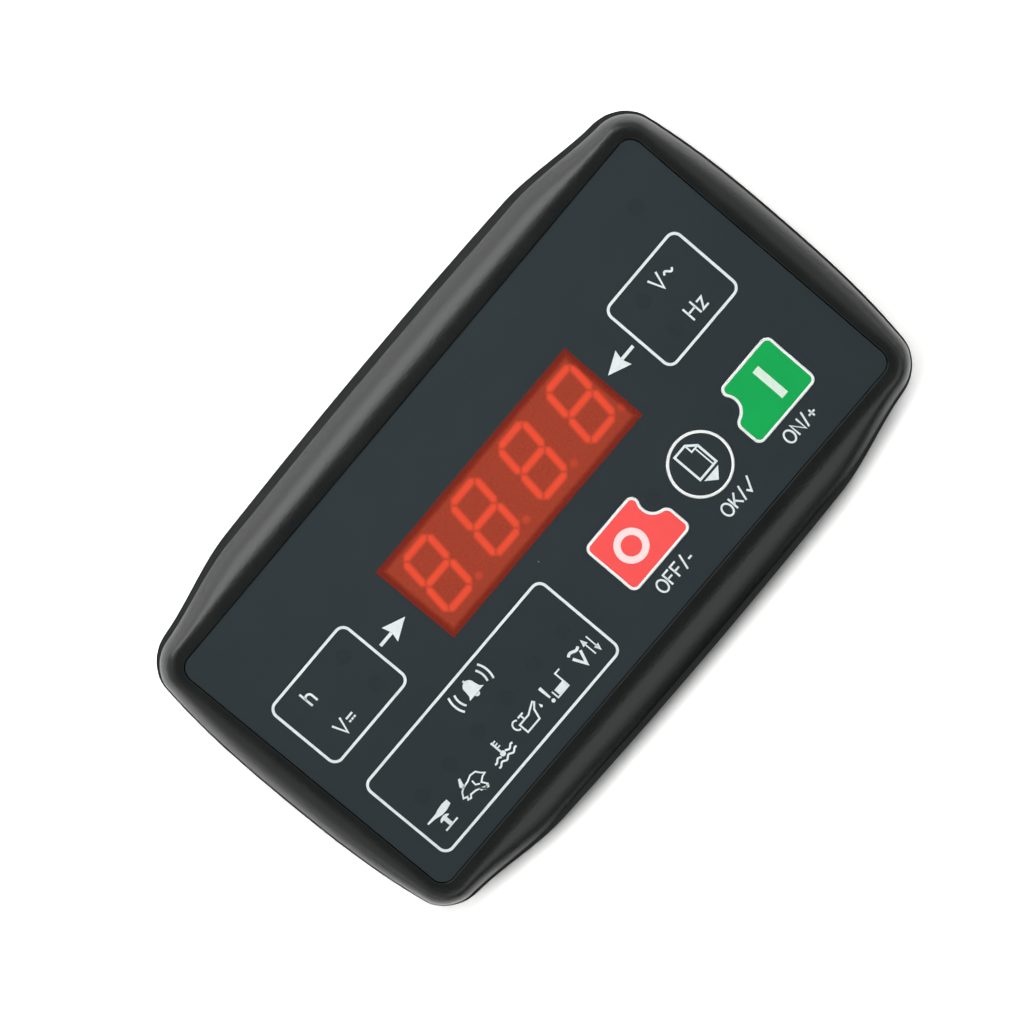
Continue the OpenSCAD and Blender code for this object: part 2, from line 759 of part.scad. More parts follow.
module main_board() {
    hole_r = pin_size / sqrt(2) + board_hole_gap;
    color([0.05, 0.32, 0.2]) translate([0, 0, main_low]) linear_extrude(board_t) difference() {
        board_shape();
        for (x = pin_places(io_ways)) translate([io_x + x, -socket_y - pin_offset]) circle(hole_r);
        for (x = pin_places(ac_ways)) translate([ac_x + x, socket_y + pin_offset]) circle(hole_r);
    }
}

module standoffs() {
    hex_r = spacer_flats / 2 / cos(30);
    color([0.8, 0.68, 0.38]) four(post_x, post_y) {
        difference() {
            translate([0, 0, main_top]) cylinder(r = hex_r, h = board_space, $fn = 6);
            translate([0, 0, main_top - sliver])
                cylinder(r = board_screw_d / 2 + thread_gap, h = board_thread + 2 * sliver);
        }
        translate([0, 0, board_low]) cylinder(d = board_screw_d, h = board_t + board_thread);
    }
}

module board_screws() {
    color([0.75, 0.76, 0.78]) four(post_x, post_y) {
        translate([0, 0, main_low - board_head_t]) cylinder(d = board_head_d, h = board_head_t);
        translate([0, 0, main_low]) cylinder(d = board_screw_d, h = board_t + board_thread);
    }
}

// Sealed relay on the main board: a base plate and a cover that stands back from it
module relay(x, y) {
    cover = [relay_length - 2 * relay_step, relay_width - 2 * relay_step];
    color([0.1, 0.1, 0.11]) translate([x, y, main_top]) {
        rounded_plate([relay_length, relay_width], relay_corner, relay_base);
        rounded_plate(cover, relay_corner, relay_height);
    }
}

module start_relay() {
    relay(relay_x, relay_y);
}

module fuel_relay() {
    relay(relay_x, -relay_y);
}

module alarm_relay() {
    relay(relay_x + relay_spacing, relay_y);
}

module capacitor() {
    r = capacitor_d / 2;
    color([0.15, 0.17, 0.3]) translate([supply_x, supply_y, main_top]) rotate_extrude() polygon([
        [0, 0], [r, 0], [r, crimp_z - crimp], [r - crimp, crimp_z], [r, crimp_z + crimp],
        [r, capacitor_height - capacitor_bevel], [r - capacitor_bevel, capacitor_height], [0, capacitor_height]
    ]);
}

module inductor() {
    color([0.25, 0.25, 0.26]) translate([supply_x + supply_step, supply_y, main_top]) {
        linear_extrude(inductor_flange) square(inductor_size, center = true);
        cylinder(d = inductor_size - 2 * inductor_waist, h = inductor_height);
        translate([0, 0, inductor_height - inductor_flange]) cylinder(d = inductor_size, h = inductor_flange);
    }
}

// One bent leg of the chip, from its side down to the board
module chip_leg() {
    knee = chip_foot / 2;
    mid = chip_height / 2;
    rotate([90, 0, 0]) linear_extrude(chip_leg_width, center = true) polygon([
        [-knee, mid], [knee, mid], [knee, 0], [knee + chip_foot, 0], [knee + chip_foot, chip_leg_t],
        [knee + chip_leg_t, chip_leg_t], [knee + chip_leg_t, mid + chip_leg_t], [-knee, mid + chip_leg_t]
    ]);
}

module microcontroller() {
    color([0.08, 0.08, 0.09]) translate([supply_x + 2 * supply_step, supply_y, main_top]) {
        translate([0, 0, chip_stand]) linear_extrude(chip_height - chip_stand) square(chip_size, center = true);
        for (turn = [0 : 90 : 270], i = [0 : chip_legs - 1])
            rotate(turn) translate([chip_size / 2, (i - (chip_legs - 1) / 2) * chip_pitch, 0]) chip_leg();
    }
}

module link_socket() {
    color([0.1, 0.1, 0.1]) translate([link_x - link_length / 2, link_y - link_width / 2, main_top])
        cube([link_length, link_width, link_socket_height]);
}

module link_header() {
    low = main_top + link_socket_height;
    color([0.14, 0.14, 0.14]) translate([link_x - link_length / 2, link_y - link_width / 2, low])
        cube([link_length, link_width, board_low - low]);
}

// Length of a socket with the given number of pins
function socket_length(ways) = ways * pin_pitch + 2 * socket_end;

// Shrouded plug socket under the main board, open at the back. Side is -1 below and 1 above the middle
module socket(x, side, ways) {
    size = [socket_length(ways), socket_width, socket_height];
    color([0.1, 0.38, 0.2]) translate([x, side * socket_y, socket_sink]) difference() {
        translate([-size.x / 2, -size.y / 2, 0]) cube(size);
        translate([socket_end - size.x / 2, socket_wall - size.y / 2, -sliver])
            cube([size.x - 2 * socket_end, size.y - 2 * socket_wall, size.z - socket_base + sliver]);
        for (p = pin_places(ways))
            translate([p, side * pin_offset, size.z])
                cube([pin_size + 2 * pin_gap, pin_size + 2 * pin_gap, 4 * socket_base], center = true);
    }
}

// Contact pins of a socket, from near its mouth through its base and the main board
module pins(x, side, ways) {
    low = socket_sink + pin_sink;
    color([0.85, 0.85, 0.82]) for (p = pin_places(ways))
        translate([x + p - pin_size / 2, side * (socket_y + pin_offset) - pin_size / 2, low])
            cube([pin_size, pin_size, main_top - low]);
}

module io_socket() {
    socket(io_x, -1, io_ways);
}

module io_pins() {
    pins(io_x, -1, io_ways);
}

module ac_socket() {
    socket(ac_x, 1, ac_ways);
}

module ac_pins() {
    pins(ac_x, 1, ac_ways);
}

// Opening of the back wall for a socket
module socket_opening(x, side, ways) {
    size = [socket_length(ways) + 2 * socket_gap, socket_width + 2 * socket_gap, back_wall + 2 * sliver];
    translate([x - size.x / 2, side * socket_y - size.y / 2, -sliver]) cube(size);
}

// Side view of the rear case over the given length, with round corners at the back
module case_profile(length) {
    translate([-length / 2, back_round]) square([length, case_front]);
    translate([back_round - length / 2, 0]) square([length - 2 * back_round, case_front]);
    for (side = [-1, 1]) translate([side * (length / 2 - back_round), back_round]) circle(back_round);
}

// The outer form of the rear case: its outline, rounded at the back along its long and its short sides
module case_body() {
    intersection() {
        rounded_plate([case_length, case_width], case_corner, case_front);
        rotate([90, 0, 0]) linear_extrude(2 * case_width, center = true) case_profile(case_length);
        rotate([90, 0, 90]) linear_extrude(2 * case_length, center = true) case_profile(case_width);
    }
}

module rear_case() {
    head_hole = case_head_d / 2 + case_head_gap;
    shank_hole = case_screw_d / 2 + case_screw_gap;
    color([0.14, 0.14, 0.15]) difference() {
        union() {
            difference() {
                case_body();
                translate([0, 0, back_wall])
                    rounded_plate([inner_length, inner_width], inner_corner, case_front);
            }
            four(column_x, column_y) cylinder(r = column_r, h = case_front);
        }
        translate([0, 0, -sliver])
            four(column_x, column_y) cylinder(r = head_hole, h = head_seat + sliver);
        translate([0, 0, -sliver])
            four(column_x, column_y) cylinder(r = shank_hole, h = case_front + 2 * sliver);
        socket_opening(io_x, -1, io_ways);
        socket_opening(ac_x, 1, ac_ways);
        for (sx = [-1, 1])
            translate([sx * case_length / 2, 0, case_depth - clip_drop])
                cube([2 * clip_depth, clip_length, clip_height], center = true);
    }
}

module case_screws() {
    color([0.78, 0.79, 0.8]) four(column_x, column_y) {
        difference() {
            translate([0, 0, case_head_sink]) cylinder(d = case_head_d, h = case_head_t);
            translate([0, 0, case_head_sink]) cube([slot_length, slot_width, case_head_t], center = true);
            translate([0, 0, case_head_sink]) cube([slot_width, slot_length, case_head_t], center = true);
        }
        translate([0, 0, head_seat]) cylinder(d = case_screw_d, h = case_front + case_thread - head_seat);
    }
}

module panel_gasket() {
    outer = gasket_inner + 2 * [gasket_width, gasket_width];
    low = case_depth + gasket_sink - gasket_t;
    color([0.2, 0.2, 0.2]) translate([0, 0, low]) linear_extrude(gasket_t) difference() {
        rounded_shape(outer, gasket_corner + gasket_width);
        rounded_shape(gasket_inner, gasket_corner);
    }
}

// Indicator lamp on the display board, with its two leads
module indicator(at) {
    dome = lamp_d / 2;
    color([0.9, 0.85, 0.82, 0.8]) translate([at.x, at.y, board_top]) {
        cylinder(d = flange_d, h = flange_t);
        cylinder(r = dome, h = lamp_height - dome);
        translate([0, 0, lamp_height - dome]) sphere(r = dome);
        for (side = [-1, 1])
            translate([side * lead_pitch / 2, 0, -board_t - lead_tail])
                cylinder(d = lead_d, h = board_t + lead_tail + flange_t / 2);
    }
}

front_bezel();
front_film();
display_window();
stop_key();
page_key();
run_key();
stop_plunger();
page_plunger();
run_plunger();
stop_switch();
page_switch();
run_switch();
display_module();
display_segments();
display_board();
main_board();
standoffs();
board_screws();
start_relay();
fuel_relay();
alarm_relay();
microcontroller();
capacitor();
inductor();
link_socket();
link_header();
io_socket();
io_pins();
ac_socket();
ac_pins();
rear_case();
case_screws();
panel_gasket();
for (lamp = LAMPS) indicator(lamp[1]);
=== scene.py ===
"""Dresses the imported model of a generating-set panel controller and lights it for a studio picture.

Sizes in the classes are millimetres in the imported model's frame: +X runs along the reading direction,
+Y up the face and +Z out of the face. Meshes are written in metres.
"""
import logging
import math
from dataclasses import dataclass, field
from enum import Enum
from functools import cache
from typing import Sequence

import bmesh
import bpy
import numpy as np
from mathutils import Matrix, Vector


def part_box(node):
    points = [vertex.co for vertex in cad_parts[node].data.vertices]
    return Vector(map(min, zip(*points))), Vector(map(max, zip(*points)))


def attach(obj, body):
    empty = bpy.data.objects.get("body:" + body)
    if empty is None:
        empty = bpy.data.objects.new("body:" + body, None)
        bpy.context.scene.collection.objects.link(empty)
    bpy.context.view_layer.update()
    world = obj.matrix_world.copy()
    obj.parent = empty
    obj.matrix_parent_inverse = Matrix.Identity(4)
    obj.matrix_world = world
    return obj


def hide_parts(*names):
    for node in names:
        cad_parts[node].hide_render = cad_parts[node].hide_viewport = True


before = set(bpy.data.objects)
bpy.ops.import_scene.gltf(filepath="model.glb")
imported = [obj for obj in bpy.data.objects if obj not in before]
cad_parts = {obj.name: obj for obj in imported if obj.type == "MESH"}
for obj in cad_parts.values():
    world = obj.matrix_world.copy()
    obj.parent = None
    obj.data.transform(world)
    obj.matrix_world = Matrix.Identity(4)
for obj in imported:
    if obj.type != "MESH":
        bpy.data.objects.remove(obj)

LOG = logging.getLogger("controller")
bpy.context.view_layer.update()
MM = 0.001
# Breadth within which two places count as the same
HAIR = 0.01
Points = np.ndarray
Colour = tuple[float, float, float]


class Body(Enum):
    """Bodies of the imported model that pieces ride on."""

    CONTROLLER = "controller"
    STOP = "stop_button"
    PAGE = "page_button"
    RUN = "run_button"


class KeyForm(Enum):
    """Outlines of the three keys."""

    ROUND = "round"
    NOTCH_RIGHT = "notch at the upper right"
    NOTCH_LEFT = "notch at the upper left"


@dataclass(frozen=True)
class Box:
    """Box of a CAD node in millimetres."""

    low: Points
    high: Points

    @classmethod
    def of(cls, node: str) -> "Box":
        """Box of the named CAD node."""
        low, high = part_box(node)
        return cls(np.array(low) / MM, np.array(high) / MM)

    @property
    def centre(self) -> Points:
        """Middle of the box."""
        return (self.low + self.high) / 2

    @property
    def half(self) -> Points:
        """Half of each side."""
        return (self.high - self.low) / 2


FILM_TOP = Box.of("front_film").high[2]


def smooth(t: Points) -> Points:
    """Smooth step: 3t^2 - 2t^3 with t held between 0 and 1."""
    c = np.clip(t, 0.0, 1.0)
    return c * c * (3.0 - 2.0 * c)


def arc(centre: Sequence[float], radius: float | Sequence[float], start: float, end: float,
        steps: int = 10) -> Points:
    """Points of a round or oval arc: centre + radius * (cos a, sin a).

    Args:
        centre: middle of the arc.
        radius: one radius, or one for each axis.
        start: first angle in degrees.
        end: last angle in degrees.
        steps: number of steps between them.

    Returns:
        Array of steps + 1 points.
    """
    a = np.radians(np.linspace(start, end, steps + 1))
    return np.array(centre) + np.array(radius) * np.stack([np.cos(a), np.sin(a)], -1)


def linear(red: int, green: int, blue: int) -> Colour:
    """Linear colour of an 8-bit display colour: ((c + 0.055) / 1.055)^2.4, and c / 12.92 near black."""
    c = np.array([red, green, blue]) / 255.0
    return tuple(np.where(c <= 0.04045, c / 12.92, ((c + 0.055) / 1.055) ** 2.4).tolist())


def raised(outline: Points, z: float | Points) -> Points:
    """Flat outline lifted to the height z."""
    return np.column_stack([outline, np.broadcast_to(z, len(outline))])


def eased(first: Points, corner: Points, last: Points, steps: int) -> Points:
    """Rings that round a corner: (1-t)^2 first + 2t(1-t) corner + t^2 last, for t from 0 to 1.

    Args:
        first: ring before the corner.
        corner: ring on the sharp corner.
        last: ring after the corner.
        steps: number of steps.

    Returns:
        Array of steps + 1 rings.
    """
    t = np.linspace(0.0, 1.0, steps + 1)[:, None, None]
    return (1 - t) ** 2 * first + 2 * t * (1 - t) * corner + t * t * last


class Draft:
    """Vertices and faces of one piece, in millimetres, gathered surface by surface."""

    # Least divisor of a mitre's reach, which keeps the points of sharp turns short
    SHARPEST_MITRE = 0.35

    def __init__(self) -> None:
        """Starts with nothing."""
        self.points: list[Points] = []
        self.faces: list[list[int]] = []
        self.finish_of: list[int] = []
        self.count = 0

    def add(self, points: Points, faces: Points | list[list[int]], finish: int = 0) -> None:
        """Adds a block of vertices and the faces that use it.

        Args:
            points: array of x, y, z.
            faces: vertex numbers within the block.
            finish: number of the material slot.
        """
        made = (np.array(faces) + self.count).tolist()
        self.points.append(np.asarray(points, float).reshape(-1, 3))
        self.faces.extend(made)
        self.finish_of.extend([finish] * len(made))
        self.count += len(self.points[-1])

    def loft(self, rings: Points, closed: bool = False, finishes: Sequence[int] = (0,)) -> None:
        """Skin over a grid of rings: quads between ring r and ring r + 1, each ring joined to itself.

        Args:
            rings: array of rings, points, coordinates.
            closed: whether the last ring joins the first.
            finishes: number of the material slot, one for all the bands or one for each band.
        """
        rows, cols = rings.shape[:2]
        r, c = np.meshgrid(np.arange(rows if closed else rows - 1), np.arange(cols), indexing="ij")
        below, beside = (r + 1) % rows, (c + 1) % cols
        quads = np.stack([r * cols + c, below * cols + c, below * cols + beside, r * cols + beside], -1)
        start = len(self.finish_of)
        self.add(rings, quads.reshape(-1, 4))
        bands = np.broadcast_to(np.array(finishes)[:, None], quads.shape[:2])
        self.finish_of[start:] = bands.ravel().tolist()

    def cap(self, first: int, count: int, finish: int = 0, turned: bool = False) -> None:
        """Closes a ring with one flat face.

        Args:
            first: number of the ring's first vertex.
            count: number of its vertices.
            finish: number of the material slot.
            turned: whether the face looks down.
        """
        ring = list(range(first, first + count))
        self.faces.append(ring[::-1] if turned else ring)
        self.finish_of.append(finish)

    def plate(self, outline: Points, low: float, high: float) -> None:
        """Flat plate: the outline at two heights, its wall and its two faces.

        Args:
            outline: flat points.
            low: height of its underside.
            high: height of its top.
        """
        n = len(outline)
        block = np.concatenate([raised(outline, low), raised(outline, high)])
        i = np.arange(n)
        wall = np.stack([i, (i + 1) % n, (i + 1) % n + n, i + n], -1)
        self.add(block, wall)
        self.cap(self.count - 2 * n, n, turned=True)
        self.cap(self.count - n, n)

    def ribbon(self, path: Points, width: float, low: float, high: float, closed: bool = False) -> None:
        """Band of even width along a flat path: a rectangle carried along it, mitred at the turns.

        Args:
            path: points of the middle line.
            width: width of the band.
            low: height of its underside.
            high: height of its top.
            closed: whether the path ends where it starts.
        """
        path = np.asarray(path, float)
        onward = np.roll(path, -1, 0) - path
        onward[-1] = onward[-1] if closed else onward[-2]
        onward /= np.linalg.norm(onward, axis=1, keepdims=True)
        before = np.roll(onward, 1, 0)
        before[0] = before[0] if closed else onward[0]
        side, side_before = (np.stack([-d[:, 1], d[:, 0]], -1) for d in (onward, before))
        share = np.maximum(1.0 + np.sum(side * side_before, 1, keepdims=True), self.SHARPEST_MITRE)
        reach = (side + side_before) / share * width / 2
        left, right = path + reach, path - reach
        rings = np.stack([raised(left, high), raised(left, low), raised(right, low), raised(right, high)], 1)
        self.loft(rings, closed)
        if not closed:
            self.cap(self.count - 4 * len(path), 4)
            self.cap(self.count - 4, 4, turned=True)

    def build(self, name: str, body: Body, slot: str, finishes: Sequence["Finish"], crease: float,
              stands_for: Sequence[str] = (), turn: bool = True) -> bpy.types.Object:
        """Turns the draft into an object that rides on a body.

        Args:
            name: name of the piece.
            body: body that it moves with.
            slot: the record's material slot; not used.
            finishes: materials, in the order of the finish numbers.
            crease: angle in degrees past which an edge stays sharp.
            stands_for: CAD nodes that the piece replaces.
            turn: whether the faces still have to be turned to look outwards.

        Returns:
            The new object.
        """
        mesh = bpy.data.meshes.new(name)
        mesh.from_pydata((np.concatenate(self.points) * MM).tolist(), [], self.faces)
        mesh.polygons.foreach_set("material_index", self.finish_of)
        if turn:
            shell = bmesh.new()
            shell.from_mesh(mesh)
            bmesh.ops.recalc_face_normals(shell, faces=shell.faces)
            shell.to_mesh(mesh)
            shell.free()
        mesh.shade_smooth()
        mesh.set_sharp_from_angle(angle=math.radians(crease))
        for finish in finishes:
            mesh.materials.append(finish.material())
        piece = bpy.data.objects.new(name, mesh)
        bpy.context.scene.collection.objects.link(piece)
        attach(piece, body.value)
        if stands_for:
            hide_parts(*stands_for)
        LOG.info("%s: %d faces on %s", name, len(mesh.polygons), body.value)
        return piece


class Tree:
    """Short-hand for making and joining shader nodes."""

    def __init__(self, tree: bpy.types.NodeTree) -> None:
        """Wraps a node tree."""
        self.tree = tree

    @classmethod
    def cleared(cls, owner: bpy.types.Material | bpy.types.World) -> "Tree":
        """Clears the nodes of a material or a world and wraps them.

        Args:
            owner: the material or world.

        Returns:
            Its empty nodes, wrapped.
        """
        owner.use_nodes = True
        owner.node_tree.nodes.clear()
        return cls(owner.node_tree)

    def feed(self, socket: bpy.types.NodeSocket, value: object) -> None:
        """Links an input to an output, or gives it a value, where a colour gets its full alpha.

        Args:
            socket: the input.
            value: an output, a number or a colour.
        """
        if isinstance(value, bpy.types.NodeSocket):
            self.tree.links.new(value, socket)
        else:
            socket.default_value = (*value, 1.0) if socket.type == "RGBA" else value

    def node(self, kind: str, settings: dict | None = None, **sockets: object) -> bpy.types.Node:
        """Makes a node.

        Args:
            kind: node type, without the ShaderNode prefix.
            settings: attributes of the node.
            sockets: input values or links, with spaces of the socket's name as underscores.

        Returns:
            The new node.
        """
        made = self.tree.nodes.new(kind if kind.startswith("Node") else "ShaderNode" + kind)
        for key, value in (settings or {}).items():
            setattr(made, key, value)
        for key, value in sockets.items():
            self.feed(made.inputs[key.replace("_", " ")], value)
        return made

    def math(self, operation: str, *values: object) -> bpy.types.NodeSocket:
        """Joins links or numbers by a calculation.

        Args:
            operation: Blender's name of the calculation.
            values: outputs or numbers.

        Returns:
            The result.
        """
        made = self.node("Math", {"operation": operation})
        for socket, value in zip(made.inputs, values):
            self.feed(socket, value)
        return made.outputs[0]

    def span(self, value: object, source: tuple[float, float], target: tuple[float, float] = (0.0, 1.0),
             **settings: object) -> bpy.types.NodeSocket:
        """Carries a value from one range to another, held at both ends.

        Args:
            value: the link that is carried.
            source: start and end of its own range.
            target: what it becomes at that start and end.
            settings: attributes of the node.

        Returns:
            The carried value.
        """
        made = self.node("MapRange", settings, Value=value, From_Min=source[0], From_Max=source[1],
                         To_Min=target[0], To_Max=target[1])
        return made.outputs["Result"]

    def mix(self, share: bpy.types.NodeSocket, first: object, second: object) -> bpy.types.NodeSocket:
        """Mixes two colours: first + share * (second - first).

        Args:
            share: share of the second colour.
            first: an output or a colour.
            second: an output or a colour.

        Returns:
            The mixed colour.
        """
        made = self.node("Mix", {"data_type": "RGBA"})
        for number, value in ((0, share), (6, first), (7, second)):
            self.feed(made.inputs[number], value)
        return made.outputs[2]

    def blend(self, share: bpy.types.NodeSocket, first: bpy.types.NodeSocket,
              second: bpy.types.NodeSocket) -> bpy.types.NodeSocket:
        """Mixes two shaders.

        Args:
            share: share of the second shader.
            first: output of a shader.
            second: output of another one.

        Returns:
            The mixed shader.
        """
        made = self.node("MixShader", Fac=share)
        for socket, value in zip(made.inputs[1:], (first, second)):
            self.feed(socket, value)
        return made.outputs["Shader"]

    def group(self, tree: bpy.types.NodeTree, **sockets: float) -> bpy.types.bpy_prop_collection:
        """Places a shared node group with its own values and returns its outputs."""
        return self.node("Group", {"node_tree": tree}, **sockets).outputs


class SharedEffects:
    """Node groups that several finishes use, each built once."""

    # Range of the broad noise that is spread over the whole mottle
    MOTTLE_RANGE = (0.3, 0.7)

    @staticmethod
    def start(name: str, inputs: Sequence[str], outputs: Sequence[str]) -> Tree:
        """Makes an empty group with number sockets.

        Args:
            name: name of the group.
            inputs: names of its inputs.
            outputs: names of its outputs.

        Returns:
            The group, wrapped.
        """
        tree = bpy.data.node_groups.new(name, "ShaderNodeTree")
        for way, labels in (("INPUT", inputs), ("OUTPUT", outputs)):
            for label in labels:
                tree.interface.new_socket(name=label, in_out=way, socket_type="NodeSocketFloat")
        return Tree(tree)

    @classmethod
    @cache
    def grain(cls) -> bpy.types.NodeTree:
        """Fine grain and broad mottle: two noises on the object's own coordinates.

        Returns:
            The group, with its grain as a height.
        """
        t = cls.start("moulded_grain", ("Grain Scale", "Mottle Scale"), ("Height", "Mottle"))
        given = t.node("NodeGroupInput").outputs
        place = t.node("TexCoord").outputs["Object"]
        fine = t.node("TexNoise", Vector=place, Scale=given["Grain Scale"], Detail=3.0, Roughness=0.6)
        broad = t.node("TexNoise", Vector=place, Scale=given["Mottle Scale"], Detail=4.0, Roughness=0.55)
        mottle = t.span(broad.outputs["Fac"], cls.MOTTLE_RANGE)
        t.node("NodeGroupOutput", Height=fine.outputs["Fac"], Mottle=mottle)
        return t.tree

    @classmethod
    @cache
    def dust(cls) -> bpy.types.NodeTree:
        """Scattered specks: middles of Voronoi cells, kept where the cell's random value is below a share.

        Returns:
            The group, with its specks as a mask.
        """
        t = cls.start("dust_specks", ("Cell Scale", "Radius", "Share"), ("Mask",))
        given = t.node("NodeGroupInput").outputs
        place = t.node("TexCoord").outputs["Object"]
        cells = t.node("TexVoronoi", Vector=place, Scale=given["Cell Scale"]).outputs
        near = t.math("LESS_THAN", cells["Distance"], given["Radius"])
        chance = t.node("SeparateColor", Color=cells["Color"]).outputs["Red"]
        kept = t.math("LESS_THAN", chance, given["Share"])
        t.node("NodeGroupOutput", Mask=t.math("MULTIPLY", near, kept))
        return t.tree

    @classmethod
    @cache
    def inset(cls) -> bpy.types.NodeTree:
        """Distance from the nearest side of an upright box: min(half - |p - centre|) over x and y.

        Returns:
            The group, with its distance as a depth.
        """
        t = cls.start("box_inset", ("Centre X", "Centre Y", "Half X", "Half Y"), ("Depth",))
        given = t.node("NodeGroupInput").outputs
        place = t.node("SeparateXYZ", Vector=t.node("TexCoord").outputs["Object"]).outputs
        reach = []
        for axis in "XY":
            away = t.math("ABSOLUTE", t.math("SUBTRACT", place[axis], given["Centre " + axis]))
            reach.append(t.math("SUBTRACT", given["Half " + axis], away))
        t.node("NodeGroupOutput", Depth=t.math("MINIMUM", *reach))
        return t.tree


@dataclass(frozen=True)
class Finish:
    """An opaque surface: two colours in a broad mottle, a fine grain and a few dust specks."""

    name: str
    colour: Colour
    shade: Colour
    rough: float = 0.5
    rough_spread: float = 0.1
    specular: float = 0.5
    metallic: float = 0.0
    grain_mm: float = 0.2
    grain_depth_mm: float = 0.01
    mottle_mm: float = 6.0
    dust: float = 0.0
    dust_colour: Colour = (0.2, 0.2, 0.19)
    # Cells per metre that may hold a speck, and a speck's radius as a share of a cell
    dust_cells: float = 220.0
    dust_radius: float = 0.03

    @cache
    def material(self) -> bpy.types.Material:
        """Makes the material of this finish, at its first use.

        Returns:
            The material.
        """
        made = bpy.data.materials.new(self.name)
        self.shader(Tree.cleared(made))
        return made

    def shader(self, t: Tree) -> bpy.types.Node:
        """Builds the nodes: mottle into colour and roughness, grain into a bump, dust over the colour.

        Args:
            t: the material's nodes.

        Returns:
            The surface shader.
        """
        grain = t.group(SharedEffects.grain(), Grain_Scale=1.0 / (self.grain_mm * MM),
                        Mottle_Scale=1.0 / (self.mottle_mm * MM))
        colour = t.mix(grain["Mottle"], self.colour, self.shade)
        if self.dust:
            specks = t.group(SharedEffects.dust(), Cell_Scale=self.dust_cells, Radius=self.dust_radius,
                             Share=self.dust)
            colour = t.mix(specks["Mask"], colour, self.dust_colour)
        half = self.rough_spread / 2
        rough = t.span(grain["Mottle"], (0.0, 1.0), (self.rough - half, self.rough + half))
        bump = t.node("Bump", Strength=1.0, Distance=self.grain_depth_mm * MM, Height=grain["Height"])
        surface = t.node("BsdfPrincipled", Base_Color=colour, Roughness=rough, Metallic=self.metallic,
                         Specular_IOR_Level=self.specular, Normal=bump.outputs["Normal"])
        t.node("OutputMaterial", Surface=surface.outputs["BSDF"])
        return surface


@dataclass(frozen=True)
class FilterFinish(Finish):
    """A tinted window that lets through what lies behind it, with a painted shade that darkens and closes it
    towards its edges.
    """

    cover: float = 0.25
    painted_shade_cover: float = 0.9
    painted_edge_shade: Colour = (0.1, 0.03, 0.02)
    painted_shade_mm: float = 1.0
    # How far the grain frays the edge and how far it reaches outwards, as shares of its width
    ragged: float = 0.5
    overrun: float = 0.3
    centre: tuple[float, float] = (0.0, 0.0)
    half: tuple[float, float] = (1.0, 1.0)

    def shader(self, t: Tree) -> bpy.types.Node:
        """Builds the opaque nodes, then mixes in the painted shade's colour and cover by the distance from a
        frayed edge.

        Args:
            t: the material's nodes.

        Returns:
            The surface shader.
        """
        surface = super().shader(t)
        inset = t.group(SharedEffects.inset(), Centre_X=self.centre[0] * MM, Centre_Y=self.centre[1] * MM,
                        Half_X=self.half[0] * MM, Half_Y=self.half[1] * MM)
        grain = t.group(SharedEffects.grain(), Grain_Scale=1.0 / (self.grain_mm * MM), Mottle_Scale=1.0)
        width = self.painted_shade_mm * MM
        depth = t.math("MULTIPLY_ADD", grain["Height"], -self.ragged * width, inset["Depth"])
        # Painted shade: the window darkens and closes towards the edges of its box
        edge = t.span(depth, (-self.overrun * width, width), (1.0, 0.0), interpolation_type="SMOOTHSTEP")
        base = surface.inputs["Base Color"]
        t.feed(base, t.mix(edge, base.links[0].from_socket, self.painted_edge_shade))
        t.feed(surface.inputs["Alpha"], t.span(edge, (0.0, 1.0), (self.cover, self.painted_shade_cover)))
        return surface


@dataclass(frozen=True)
class FadeFinish(Finish):
    """A bright surface with a painted glow, both fading into the colour of what it lies in by the mesh's own
    attribute.
    """

    attribute: str = "fade"
    # Strength of the painted glow: the bars give off light though the display is unlit
    glow: float = 0.3

    def shader(self, t: Tree) -> bpy.types.Node:
        """Builds the opaque nodes, then mixes the two colours and the painted glow by the attribute instead
        of by the mottle.

        Args:
            t: the material's nodes.

        Returns:
            The surface shader.
        """
        surface = super().shader(t)
        fade = t.node("Attribute", {"attribute_name": self.attribute}).outputs["Fac"]
        t.feed(surface.inputs["Base Color"], t.mix(fade, self.shade, self.colour))
        t.feed(surface.inputs["Emission Color"], t.mix(fade, (0.0, 0.0, 0.0), self.colour))
        t.feed(surface.inputs["Emission Strength"], self.glow)
        return surface


